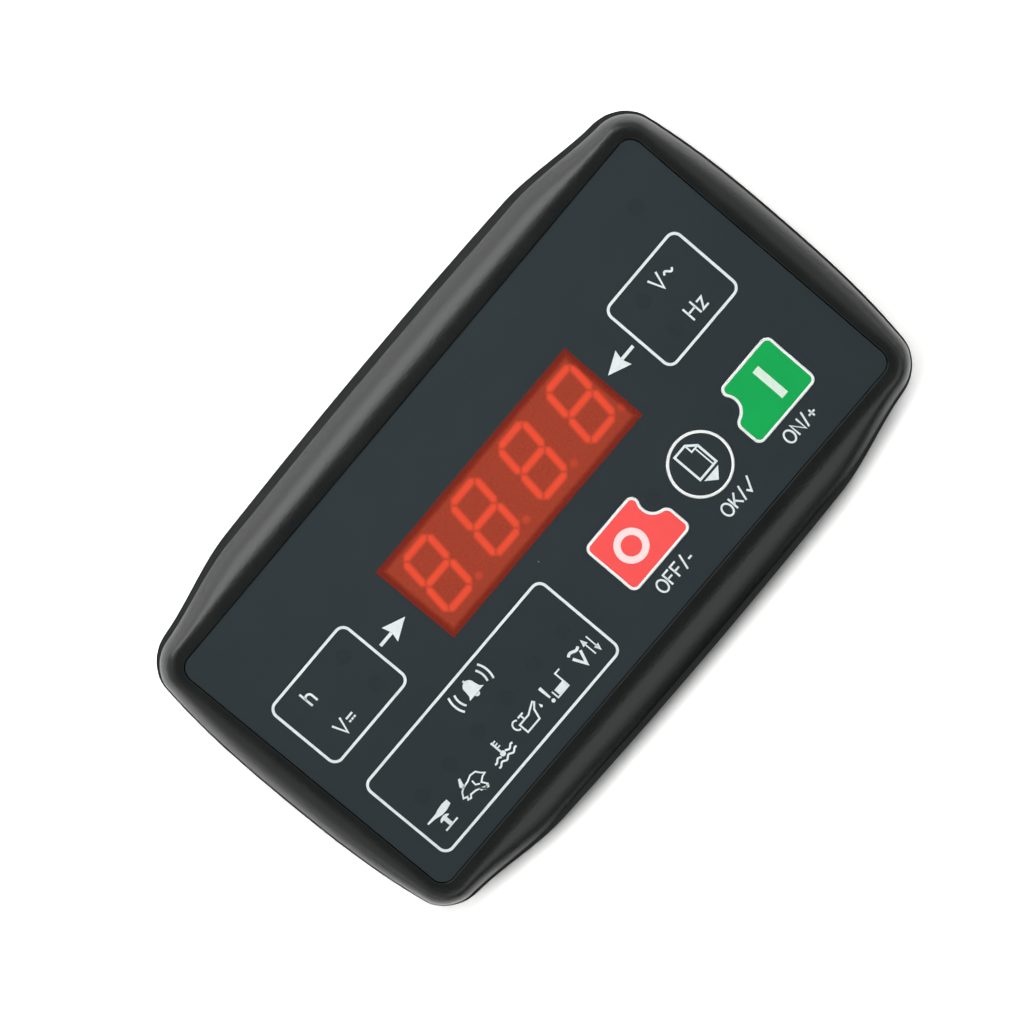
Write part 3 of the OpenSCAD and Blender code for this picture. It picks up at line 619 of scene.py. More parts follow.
class Finishes:
    """The finishes of this object."""

    BEZEL = Finish("black_moulding", linear(21, 24, 24), linear(25, 27, 26), rough=0.22, rough_spread=0.04,
                   specular=0.8, grain_mm=0.42, grain_depth_mm=0.04, dust=0.02)
    # Painted sheen: the same black moulding in a lighter grey, standing in for the drafted wall's reflection
    # of the bright floor, with its specular off
    WALL_SHEEN = Finish("black_wall_painted_sheen", linear(71, 74, 73), linear(62, 65, 64), rough=0.62, rough_spread=0.06,
                  specular=0.0, grain_mm=0.22, grain_depth_mm=0.02, dust=0.02)
    # Painted shade: a darker copy of the black moulding for the recess wall, the gap round the film and the
    # hollows inside
    RECESS_SHADE = Finish("recess_painted_shade", linear(8, 9, 9), linear(6, 7, 7), rough=0.7, specular=0.02)
    FILM = Finish("printed_film", linear(44, 52, 55), linear(46, 54, 57), rough=0.5, rough_spread=0.04,
                  specular=0.16, grain_mm=0.12, grain_depth_mm=0.004, mottle_mm=9.0, dust=0.012)
    SPOT = Finish("lamp_spot", linear(44, 51, 54), linear(43, 49, 52), rough=0.5, specular=0.16,
                  grain_mm=0.12, grain_depth_mm=0.004, mottle_mm=0.8)
    WHITE_INK = Finish("white_ink", linear(232, 239, 241), linear(222, 229, 231), rough=0.55, specular=0.3,
                       grain_mm=0.1, grain_depth_mm=0.003, mottle_mm=0.5)
    KEY_BORDER = Finish("white_border", linear(252, 253, 252), linear(244, 247, 246), rough=0.4,
                        specular=0.5, grain_mm=0.1, grain_depth_mm=0.003, mottle_mm=0.6)
    RED = Finish("red_key", linear(252, 90, 88), linear(248, 86, 84), rough=0.45, specular=0.3,
                 grain_mm=0.12, grain_depth_mm=0.004)
    GREEN = Finish("green_key", linear(22, 172, 86), linear(20, 166, 82), rough=0.45, specular=0.25,
                   grain_mm=0.12, grain_depth_mm=0.004)
    RED_SIGN = Finish("red_key_sign", linear(255, 230, 229), linear(252, 222, 221), rough=0.5,
                      grain_mm=0.1, grain_depth_mm=0.003, mottle_mm=0.6)
    GREEN_SIGN = Finish("green_key_sign", linear(226, 244, 228), linear(218, 238, 221), rough=0.5,
                        grain_mm=0.1, grain_depth_mm=0.003, mottle_mm=0.6)
    # The window's edges carry a painted shade of the recess round the display
    WINDOW = FilterFinish("red_filter", linear(178, 62, 38), linear(150, 48, 30), rough=0.5, specular=0.1,
                          grain_mm=0.18, grain_depth_mm=0.006, mottle_mm=0.35, cover=0.2,
                          painted_edge_shade=linear(126, 41, 32), centre=tuple(Box.of("display_window").centre[:2]),
                          half=tuple(Box.of("display_window").half[:2]))
    MODULE = Finish("display_resin", linear(198, 92, 68), linear(178, 80, 60), rough=0.6, specular=0.05,
                    grain_mm=0.25, mottle_mm=0.3)
    # The display is unlit: the bars' glow is painted light
    SEGMENT = FadeFinish("display_bars", linear(250, 90, 62), linear(188, 86, 64), rough=0.5, specular=0.05,
                         grain_mm=0.2, mottle_mm=1.0, glow=0.42)
    REAR = Finish("rear_moulding", linear(30, 32, 33), linear(36, 38, 38), rough=0.5, rough_spread=0.08,
                  specular=0.4, grain_mm=0.22, grain_depth_mm=0.02, dust=0.03)
    RUBBER = Finish("seal_rubber", linear(24, 24, 24), linear(33, 33, 32), rough=0.78, specular=0.3,
                    grain_mm=0.3, grain_depth_mm=0.03, mottle_mm=3.0, dust=0.05)
    SOCKET = Finish("green_socket", linear(30, 104, 56), linear(26, 94, 50), rough=0.42, specular=0.45,
                    grain_mm=0.2, grain_depth_mm=0.01)
    TINNED = Finish("tinned_pins", linear(200, 200, 194), linear(172, 172, 168), rough=0.34, metallic=1.0,
                    grain_mm=0.15, grain_depth_mm=0.004, mottle_mm=0.8)
    STEEL = Finish("zinc_screws", linear(186, 188, 190), linear(150, 152, 156), rough=0.36, metallic=1.0,
                   grain_mm=0.12, grain_depth_mm=0.006, mottle_mm=1.2)
    BRASS = Finish("brass_spacers", linear(196, 168, 96), linear(172, 142, 78), rough=0.34, metallic=1.0,
                   grain_mm=0.15, grain_depth_mm=0.006, mottle_mm=1.5)
    BOARD = Finish("solder_mask", linear(20, 84, 50), linear(26, 98, 58), rough=0.38, specular=0.5,
                   grain_mm=0.5, grain_depth_mm=0.02, mottle_mm=2.2)
    COMPONENT = Finish("component_body", linear(28, 28, 30), linear(36, 36, 38), rough=0.55,
                       grain_mm=0.15, grain_depth_mm=0.01, mottle_mm=3.0)
    CAN = Finish("capacitor_sleeve", linear(40, 44, 78), linear(34, 38, 68), rough=0.35,
                 grain_mm=0.3, grain_depth_mm=0.01)
    PLUNGER = Finish("white_plunger", linear(226, 226, 220), linear(214, 214, 206), rough=0.5,
                     grain_mm=0.2, grain_depth_mm=0.008)
    LAMP = Finish("lamp_body", linear(214, 200, 194), linear(198, 184, 178), rough=0.3, specular=0.5,
                  grain_mm=0.3, grain_depth_mm=0.006)


# CAD nodes that stay in view or inside, by the finish that they take
CARRIED = {
    Finishes.FILM: ("front_film",),
    Finishes.WINDOW: ("display_window",),
    Finishes.MODULE: ("display_module",),
    Finishes.REAR: ("rear_case",),
    Finishes.RUBBER: ("panel_gasket",),
    Finishes.SOCKET: ("io_socket", "ac_socket"),
    Finishes.TINNED: ("io_pins", "ac_pins"),
    Finishes.STEEL: ("case_screws", "board_screws"),
    Finishes.BRASS: ("standoffs",),
    Finishes.BOARD: ("display_board", "main_board"),
    Finishes.COMPONENT: ("start_relay", "fuel_relay", "alarm_relay", "microcontroller", "inductor",
                         "link_socket", "link_header", "stop_switch", "page_switch", "run_switch"),
    Finishes.CAN: ("capacitor",),
    Finishes.PLUNGER: ("stop_plunger", "page_plunger", "run_plunger"),
}
LAMPS = [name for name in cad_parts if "_led" in name]


@dataclass
class Bezel:
    """Moulded front housing: a flat rim round the film, a curved shoulder and a drafted wall that bulges."""

    rim_long: float = 1.8
    rim_short: float = 1.4
    film_corner: float = 2.0
    film_gap: float = 0.15
    foot_corner: float = 5.2
    bulge: float = 1.9
    bulge_start: float = 31.5
    bulge_fall: float = 18.0
    long_bow: float = 1.3
    short_bow: float = 2.4
    short_bow_power: float = 2.6
    land: float = 4.2
    wall_height: float = 2.9
    draft_middle: float = 1.5
    draft_end: float = 1.1
    draft_start: float = 22.0
    draft_fall: float = 24.0
    shoulder_near: tuple[float, float] = (0.36, 0.05)
    shoulder_far: tuple[float, float] = (0.78, 0.49)
    rim_ease: float = 0.4
    edge_ease: float = 0.12
    lip: float = 0.12
    crease: float = 18.0
    groove_corner: float = 6.1
    case_gap: float = 0.15
    pocket_corner: float = 3.15
    corner_steps: int = 20
    long_steps: int = 260
    short_steps: int = 100
    shoulder_steps: int = 20
    wall_steps: int = 6
    lip_steps: int = 3
    rim_turn_steps: int = 8
    edge_turn_steps: int = 4
    # Ring of the shoulder at which the rim's turn ends
    rim_join: int = 2
    box: Box = field(default_factory=lambda: Box.of("front_bezel"))
    film: Box = field(default_factory=lambda: Box.of("front_film"))
    case: Box = field(default_factory=lambda: Box.of("rear_case"))
    seal: Box = field(default_factory=lambda: Box.of("panel_gasket"))

    def outline(self, half_x: float, half_y: float, radius: float) -> Points:
        """Points round a rounded rectangle, counter-clockwise, always as many, so that rings can be joined.

        Args:
            half_x: half of its length.
            half_y: half of its height.
            radius: radius of its corners.

        Returns:
            Array of flat points.
        """
        x, y = half_x - radius, half_y - radius
        along = np.linspace(-1.0, 1.0, self.long_steps + 1)[1:-1]
        up = np.linspace(-1.0, 1.0, self.short_steps + 1)[1:-1]
        edge = np.ones_like
        return np.concatenate([
            arc((x, y), radius, 0, 90, self.corner_steps),
            np.column_stack([-along * x, edge(along) * half_y]),
            arc((-x, y), radius, 90, 180, self.corner_steps),
            np.column_stack([-edge(up) * half_x, -up * y]),
            arc((-x, -y), radius, 180, 270, self.corner_steps),
            np.column_stack([along * x, -edge(along) * half_y]),
            arc((x, -y), radius, 270, 360, self.corner_steps),
            np.column_stack([edge(up) * half_x, up * y]),
        ])

    def foot(self) -> Points:
        """Outline of the lower edge: a rounded rectangle whose sides bow and whose long sides bulge.

        The long sides draw in by a square of x, and past the bulge by a smooth step. The short sides draw
        in by a power of y.

        Returns:
            Array of flat points.
        """
        half_l, half_w = self.box.half[:2]
        plain = self.outline(half_l, half_w, self.foot_corner)
        x, y = plain[:, 0], plain[:, 1]
        fall = self.bulge * smooth((np.abs(x) - self.bulge_start) / self.bulge_fall)
        long_reach = half_w - self.long_bow * (x / half_l) ** 2 - fall
        short_reach = half_l - self.short_bow * (np.abs(y) / half_w) ** self.short_bow_power
        return np.column_stack([x * short_reach / half_l, y * long_reach / half_w])

    def skirt(self) -> tuple[Points, Points]:
        """Rings of the outside: the rim, a cubic shoulder down to its edge, the drafted wall and the land.

        Returns:
            Rings of the rim and the shoulder, and rings of the wall and the land.
        """
        top, low = self.box.high[2], self.box.low[2]
        half_x, half_y = self.film.half[:2] + (self.rim_short, self.rim_long)
        radius = self.film_corner + self.rim_short
        rim = self.outline(half_x, half_y, radius)
        foot = self.foot()
        inward = (rim - foot) / np.linalg.norm(rim - foot, axis=1, keepdims=True)
        fall = smooth((np.abs(foot[:, :1]) - self.draft_start) / self.draft_fall)
        edge = foot + inward * (self.draft_middle + (self.draft_end - self.draft_middle) * fall)
        wall_z = low + self.land
        edge_z = wall_z + self.wall_height
        t = np.linspace(0.0, 1.0, self.shoulder_steps + 1)[:, None]
        # Share of the way from the rim to the edge: 3t(1-t)^2 near + 3t^2(1-t) far + t^3
        near, far = np.array(self.shoulder_near), np.array(self.shoulder_far)
        share = 3 * t * (1 - t) ** 2 * near + 3 * t * t * (1 - t) * far + t ** 3
        across, down = share[:, 0, None, None], share[:, 1, None]
        flat = rim + (edge - rim) * across
        height = top - (top - edge_z) * down
        shoulder = np.concatenate([flat, np.broadcast_to(height[:, :, None], flat.shape[:2] + (1,))], -1)
        wall_share = np.linspace(0.0, 1.0, self.wall_steps + 1)[:, None, None]
        wall = raised(edge, edge_z) + (raised(foot, wall_z) - raised(edge, edge_z)) * wall_share
        ease, join, middle = self.rim_ease, self.rim_join, self.edge_turn_steps // 2 + 1
        inner = self.outline(half_x - ease, half_y - ease, radius - ease)
        rim_turn = eased(raised(inner, top), shoulder[0], shoulder[join], self.rim_turn_steps)
        before = shoulder[-1] + (shoulder[-2] - shoulder[-1]) * self.edge_ease
        after = wall[0] + (wall[1] - wall[0]) * self.edge_ease
        edge_turn = eased(before, shoulder[-1], after, self.edge_turn_steps)
        upper = np.concatenate([rim_turn, shoulder[join + 1:-1], edge_turn[:middle]])
        return upper, np.concatenate([edge_turn[middle:], wall[1:], raised(foot, low)[None]])

    def inside(self) -> tuple[Points, Points]:
        """Triangles of the CAD node that the skin leaves bare: recess floor, holes, posts, columns, grooves.

        Returns:
            Points and triangles.
        """
        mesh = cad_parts["front_bezel"].data
        mesh.calc_loop_triangles()
        points = np.empty(3 * len(mesh.vertices))
        mesh.vertices.foreach_get("co", points)
        corners = np.empty(3 * len(mesh.loop_triangles), np.int32)
        mesh.loop_triangles.foreach_get("vertices", corners)
        points, corners = points.reshape(-1, 3) / MM, corners.reshape(-1, 3)
        middle = points[corners].mean(1)
        height, seat, low = middle[:, 2], self.film.low[2], self.box.low[2]
        floor = (np.abs(height - seat) < HAIR) & self.within(middle, self.recess, self.recess_corner)
        under = (height < seat - HAIR) & self.within(middle, self.pocket, self.pocket_corner)
        groove = (height > low + HAIR) & (height < self.seal.high[2] + HAIR)
        groove &= self.within(middle, self.seal.half[:2], self.groove_corner)
        kept, numbers = np.unique(corners[floor | under | groove], return_inverse=True)
        return points[kept], numbers.reshape(-1, 3)

    @staticmethod
    def within(points: Points, half: Points, radius: float) -> Points:
        """Whether points lie in a rounded rectangle, or just over it: |max(|p| - half + r, 0)| <= r."""
        past = np.maximum(np.abs(points[:, :2]) - half + radius, 0.0)
        return np.linalg.norm(past, axis=1) < radius + HAIR

    @property
    def recess(self) -> Points:
        """Half sides of the recess that the film lies in."""
        return self.film.half[:2] + self.film_gap

    @property
    def recess_corner(self) -> float:
        """Radius of the recess's corners."""
        return self.film_corner + self.film_gap

    @property
    def pocket(self) -> Points:
        """Half sides of the pocket that the rear case plugs into."""
        return self.case.half[:2] + self.case_gap

    def build(self) -> None:
        """Builds the skin from the recess over the rim to the underside, and joins the inside to it."""
        top, low = self.box.high[2], self.box.low[2]
        seat = self.outline(*self.recess, self.recess_corner)
        lip = self.outline(*(self.recess + self.lip), self.recess_corner + self.lip)
        groove = self.outline(*self.seal.half[:2], self.groove_corner)
        upper, lower = self.skirt()
        rings = [raised(seat, self.film.low[2])]
        start, corner, end = raised(seat, top - self.lip), raised(seat, top), raised(lip, top)
        rings += list(eased(start, corner, end, self.lip_steps))
        rings += [*upper, *lower, raised(groove, low)]
        # The recess wall and the inside take the painted recess shade
        gloss, matt, recess_shade = range(3)
        # The drafted wall and the land take the painted sheen
        wall_bands = len(lower) + 1
        bands = [recess_shade] + [gloss] * (len(rings) - 2 - wall_bands) + [matt] * wall_bands
        draft = Draft()
        draft.loft(np.stack(rings), finishes=bands)
        draft.add(*self.inside(), finish=recess_shade)
        draft.build("bezel_shell", Body.CONTROLLER, "bezel",
                    [Finishes.BEZEL, Finishes.WALL_SHEEN, Finishes.RECESS_SHADE], self.crease, ["front_bezel"],
                    turn=False)


@dataclass
class KeyPad:
    """One embossed key: a raised white border round a coloured middle, with its sign."""

    node: str
    body: Body
    form: KeyForm
    slot: str
    middle: Finish
    corner: float = 1.15
    notch_radius: float = 2.0
    notch_at: tuple[float, float] = (5.6, 2.05)
    lip_radius: float = 1.3
    tooth_radius: float = 1.1
    # Section from the lower edge inwards: growth of the outline, height over the film, next band's finish
    section: tuple[tuple[float, float, int], ...] = (
        (0.12, -0.5, 0), (0.12, -0.004, 0), (0.0, 0.0, 1), (-0.03, 0.10, 1), (-0.10, 0.17, 1),
        (-0.21, 0.20, 1), (-0.32, 0.175, 1), (-0.42, 0.11, 2), (-0.48, 0.085, 2), (-0.60, 0.09, 2),
        (-0.70, 0.10, 2), (-0.80, 0.10, 2))
    round_steps: int = 96
    notch_steps: int = 24
    crease: float = 60.0

    @property
    def box(self) -> Box:
        """Box of the key's CAD node."""
        return Box.of(self.node)

    def outline(self, grow: float) -> Points:
        """Outline of the key, grown by the given distance.

        The notched outline is a chain of arcs. The arc of the notch and the two small arcs beside it touch,
        because their centres lie as far apart as their radii add up to.

        Args:
            grow: distance between the outlines, below 0 to shrink it.

        Returns:
            Array of flat points.
        """
        a, b = self.box.half[:2]
        if self.form is KeyForm.ROUND:
            return self.box.centre[:2] + arc((0, 0), a + grow, 0, 360, self.round_steps)[:-1]
        r, lip_r, tooth_r, notch = self.corner, self.lip_radius, self.tooth_radius, np.array(self.notch_at)
        lip_x, tooth_y = a - lip_r, b - tooth_r
        to_lip, to_tooth = self.notch_radius + lip_r, self.notch_radius + tooth_r
        lip = np.array([lip_x, notch[1] - math.sqrt(to_lip ** 2 - (lip_x - notch[0]) ** 2)])
        tooth = np.array([notch[0] - math.sqrt(to_tooth ** 2 - (tooth_y - notch[1]) ** 2), tooth_y])
        lip_angle, tooth_angle = (math.degrees(math.atan2(*(notch - p)[::-1])) for p in (lip, tooth))
        path = np.concatenate([
            arc((r - a, r - b), r + grow, 180, 270), arc((a - r, r - b), r + grow, 270, 360),
            arc(lip, lip_r + grow, 0, lip_angle),
            arc(notch, self.notch_radius - grow, 180 + lip_angle, 180 + tooth_angle, self.notch_steps)[1:-1],
            arc(tooth, tooth_r + grow, tooth_angle, 90), arc((r - a, b - r), r + grow, 90, 180),
        ])
        if self.form is KeyForm.NOTCH_LEFT:
            path = path[::-1] * (-1, 1)
        return self.box.centre[:2] + path

    def build(self) -> None:
        """Builds the pad: a hem that fills the film's cut-out, the white border and the coloured middle."""
        rings = np.stack([raised(self.outline(grow), FILM_TOP + rise) for grow, rise, _ in self.section])
        bands = [finish for _, _, finish in self.section]
        count = rings.shape[1]
        draft = Draft()
        draft.loft(rings, finishes=bands[:-1])
        draft.cap(0, count, bands[0], turned=True)
        draft.cap(draft.count - count, count, bands[-1])
        draft.build(self.node.replace("_key", "_pad"), self.body, self.slot,
                    [Finishes.FILM, Finishes.KEY_BORDER, self.middle], self.crease, [self.node])


@dataclass
class DigitBars:
    """Bars and points of the digits with a painted glow, whose edges fade into the face of the display."""

    digits: int = 4
    height: float = 10.16
    width: float = 6.0
    bar: float = 1.0
    bar_gap: float = 0.12
    slant: float = 8.0
    middle: tuple[float, float] = (0.5, 5.1)
    dot: float = 1.1
    dot_gap: float = 0.35
    dot_light: float = 0.4
    dot_steps: int = 20
    crease: float = 60.0
    # Section from the underside to the top: growth of the outline, height over the face, brightness as the
    # share of the bar's colour and of its painted glow
    section: tuple[tuple[float, float, float], ...] = (
        (0.0, -0.4, 0.0), (0.0, -0.002, 0.0), (0.28, 0.004, 0.0), (0.11, 0.012, 0.22), (-0.04, 0.018, 0.6),
        (-0.19, 0.022, 0.9), (-0.32, 0.024, 1.0))
    module: Box = field(default_factory=lambda: Box.of("display_module"))

    def joints(self) -> Points:
        """Ends of the seven bars of one digit, at the corners and the middles of its sides.

        Returns:
            Array of bars, ends, coordinates.
        """
        x, y = (self.width - self.bar) / 2, (self.height - self.bar) / 2
        rows = [(-x, y), (x, y), (-x, 0), (x, 0), (-x, -y), (x, -y)]
        ends = [(0, 1), (2, 3), (4, 5), (0, 2), (2, 4), (1, 3), (3, 5)]
        return np.array(rows)[np.array(ends)]

    def hexagon(self, half: float, grow: float) -> Points:
        """Outline of a bar with pointed ends: tips at half + sqrt(2) grow, sides at bar / 2 + grow.

        Args:
            half: half of the bar's length.
            grow: growth of its outline.

        Returns:
            Array of six points.
        """
        side = self.bar / 2
        tip, neck, reach = half + math.sqrt(2) * grow, half - side + (math.sqrt(2) - 1) * grow, side + grow
        return np.array([(tip, 0), (neck, reach), (-neck, reach), (-tip, 0), (-neck, -reach), (neck, -reach)])

    def build(self) -> None:
        """Builds every bar and point as a ringed prism and stores the brightness of each vertex."""
        draft, light = Draft(), []
        pitch = 2 * self.module.half[0] / self.digits
        lean = np.array([[1.0, 0.0], [math.tan(math.radians(self.slant)), 1.0]])
        for k in range(self.digits):
            place = np.array(self.middle) + ((k - (self.digits - 1) / 2) * pitch, 0)
            for start, end in self.joints():
                along = (end - start) / np.linalg.norm(end - start)
                turn = np.array([along, (-along[1], along[0])])
                half = np.linalg.norm(end - start) / 2 - self.bar_gap
                outlines = [(self.hexagon(half, g) @ turn + (start + end) / 2) @ lean + place
                            for g, _, _ in self.section]
                light.append(self.prism(draft, outlines, 1.0))
            centre = np.array([self.width / 2 + self.dot_gap, -(self.height - self.dot) / 2]) + place
            outlines = [arc(centre, self.dot / 2 + g, 0, 360, self.dot_steps)[:-1]
                        for g, _, _ in self.section]
            light.append(self.prism(draft, outlines, self.dot_light))
        piece = draft.build("digit_bars", Body.CONTROLLER, "segments", [Finishes.SEGMENT], self.crease,
                            ["display_segments"])
        fade = piece.data.attributes.new(Finishes.SEGMENT.attribute, "FLOAT", "POINT")
        fade.data.foreach_set("value", np.concatenate(light))

    def prism(self, draft: Draft, outlines: Sequence[Points], peak: float) -> Points:
        """Adds one ringed prism with its two end faces.

        Args:
            draft: the draft that it joins.
            outlines: one outline for each row of the section.
            peak: brightness at its middle.

        Returns:
            Brightness of each of its vertices.
        """
        rings = np.stack([raised(o, self.module.high[2] + z) for o, (_, z, _) in zip(outlines, self.section)])
        count = len(outlines[0])
        draft.loft(rings)
        draft.cap(draft.count - len(rings) * count, count, turned=True)
        draft.cap(draft.count - count, count)
        return np.repeat([peak * b for _, _, b in self.section], count)


@dataclass
class Signs:
    """Flat printed signs: bands and plates of ink, slightly proud of what they are printed on."""

    base: float
    ink: float = 0.025
    sunk: float = 0.01
    crease: float = 40.0

    def __post_init__(self) -> None:
        """Starts an empty draft."""
        self.draft = Draft()

    def stroke(self, points: Sequence | Points, width: float, at: Sequence[float] = (0, 0), size: float = 1.0,
               closed: bool = False) -> None:
        """Prints a band along points, scaled by size and moved to a place.

        Args:
            points: middle line of the band.
            width: width of the band in millimetres.
            at: place of the sign's origin.
            size: scale of the points.
            closed: whether the band is a loop.
        """
        path = np.array(points, float) * size + np.array(at)
        self.draft.ribbon(path, width, self.base - self.sunk, self.base + self.ink, closed)

    def fill(self, points: Sequence | Points, at: Sequence[float] = (0, 0)) -> None:
        """Prints a filled shape, moved to a place."""
        path = np.array(points, float) + np.array(at)
        self.draft.plate(path, self.base - self.sunk, self.base + self.ink)

    def rounded(self, low: Sequence[float], high: Sequence[float], radius: float, width: float) -> None:
        """Prints the outline of a rounded box.

        Args:
            low: its lower left corner, outside the line.
            high: its upper right corner, outside the line.
            radius: radius of its corners.
            width: width of the line.
        """
        (x0, y0), (x1, y1) = np.array(low) + width / 2, np.array(high) - width / 2
        r = radius - width / 2
        path = np.concatenate([
            arc((x1 - r, y1 - r), r, 0, 90), arc((x0 + r, y1 - r), r, 90, 180),
            arc((x0 + r, y0 + r), r, 180, 270), arc((x1 - r, y0 + r), r, 270, 360)])
        self.stroke(path, width, closed=True)

    def build(self, name: str, body: Body, slot: str, finish: Finish) -> None:
        """Turns the signs into one piece."""
        self.draft.build(name, body, slot, [finish], self.crease)


class Letters:
    """Plain single-stroke letters and marks, as lines in a box of height 1."""

    ROUND_ADVANCE = 0.78
    ROUND_O = arc((0.37, 0.5), (0.37, 0.5), 90, 450, 28)[:-1]
    GLYPHS: dict[str, tuple[float, list]] = {
        "F": (0.60, [[(0, 0), (0, 1), (0.56, 1)], [(0, 0.52), (0.48, 0.52)]]),
        "N": (0.70, [[(0, 0), (0, 1), (0.64, 0), (0.64, 1)]]),
        "K": (0.66, [[(0, 0), (0, 1)], [(0.60, 1), (0.04, 0.36)], [(0.22, 0.57), (0.64, 0)]]),
        "V": (0.74, [[(0, 1), (0.36, 0), (0.72, 1)]]),
        "H": (0.70, [[(0, 0), (0, 1)], [(0.64, 0), (0.64, 1)], [(0, 0.53), (0.64, 0.53)]]),
        "z": (0.50, [[(0.02, 0.66), (0.46, 0.66), (0.02, 0.04), (0.48, 0.04)]]),
        "h": (0.52, [[(0, 0), (0, 1)],
                     np.concatenate([arc((0.22, 0.44), 0.22, 170, 0, 8), [(0.44, 0)]])]),
        "/": (0.38, [[(0, -0.08), (0.36, 1.06)]]),
        "-": (0.36, [[(0.02, 0.36), (0.36, 0.36)]]),
        "+": (0.62, [[(0, 0.42), (0.60, 0.42)], [(0.30, 0.12), (0.30, 0.72)]]),
        "tick": (0.80, [[(0, 0.40), (0.20, 0.05), (0.78, 1.08)]]),
        "direct": (0.60, [[(0, 0.62), (0.58, 0.62)], [(0, 0.34), (0.16, 0.34)], [(0.21, 0.34), (0.37, 0.34)],
                          [(0.42, 0.34), (0.58, 0.34)]]),
        "waves": (0.66, [np.column_stack([np.linspace(0, 0.64, 15),
                                          0.46 + 0.14 * np.sin(np.linspace(0, 2 * np.pi, 15))])]),
    }
    GAP = 0.17

    @classmethod
    def write(cls, signs: Signs, text: Sequence[str], at: Sequence[float], height: float,
              weight: float = 0.135) -> None:
        """Writes a row of letters.

        Args:
            signs: the print that the letters join.
            text: names of the glyphs in order.
            at: lower left corner of the row.
            height: height of a capital letter.
            weight: width of a stroke as a share of the height.
        """
        x, y = at
        for name in text:
            if name == "O":
                advance = cls.ROUND_ADVANCE
                signs.stroke(cls.ROUND_O, weight * height, (x, y), height, closed=True)
            else:
                advance, lines = cls.GLYPHS[name]
                for line in lines:
                    signs.stroke(line, weight * height, (x, y), height)
            x += (advance + cls.GAP) * height


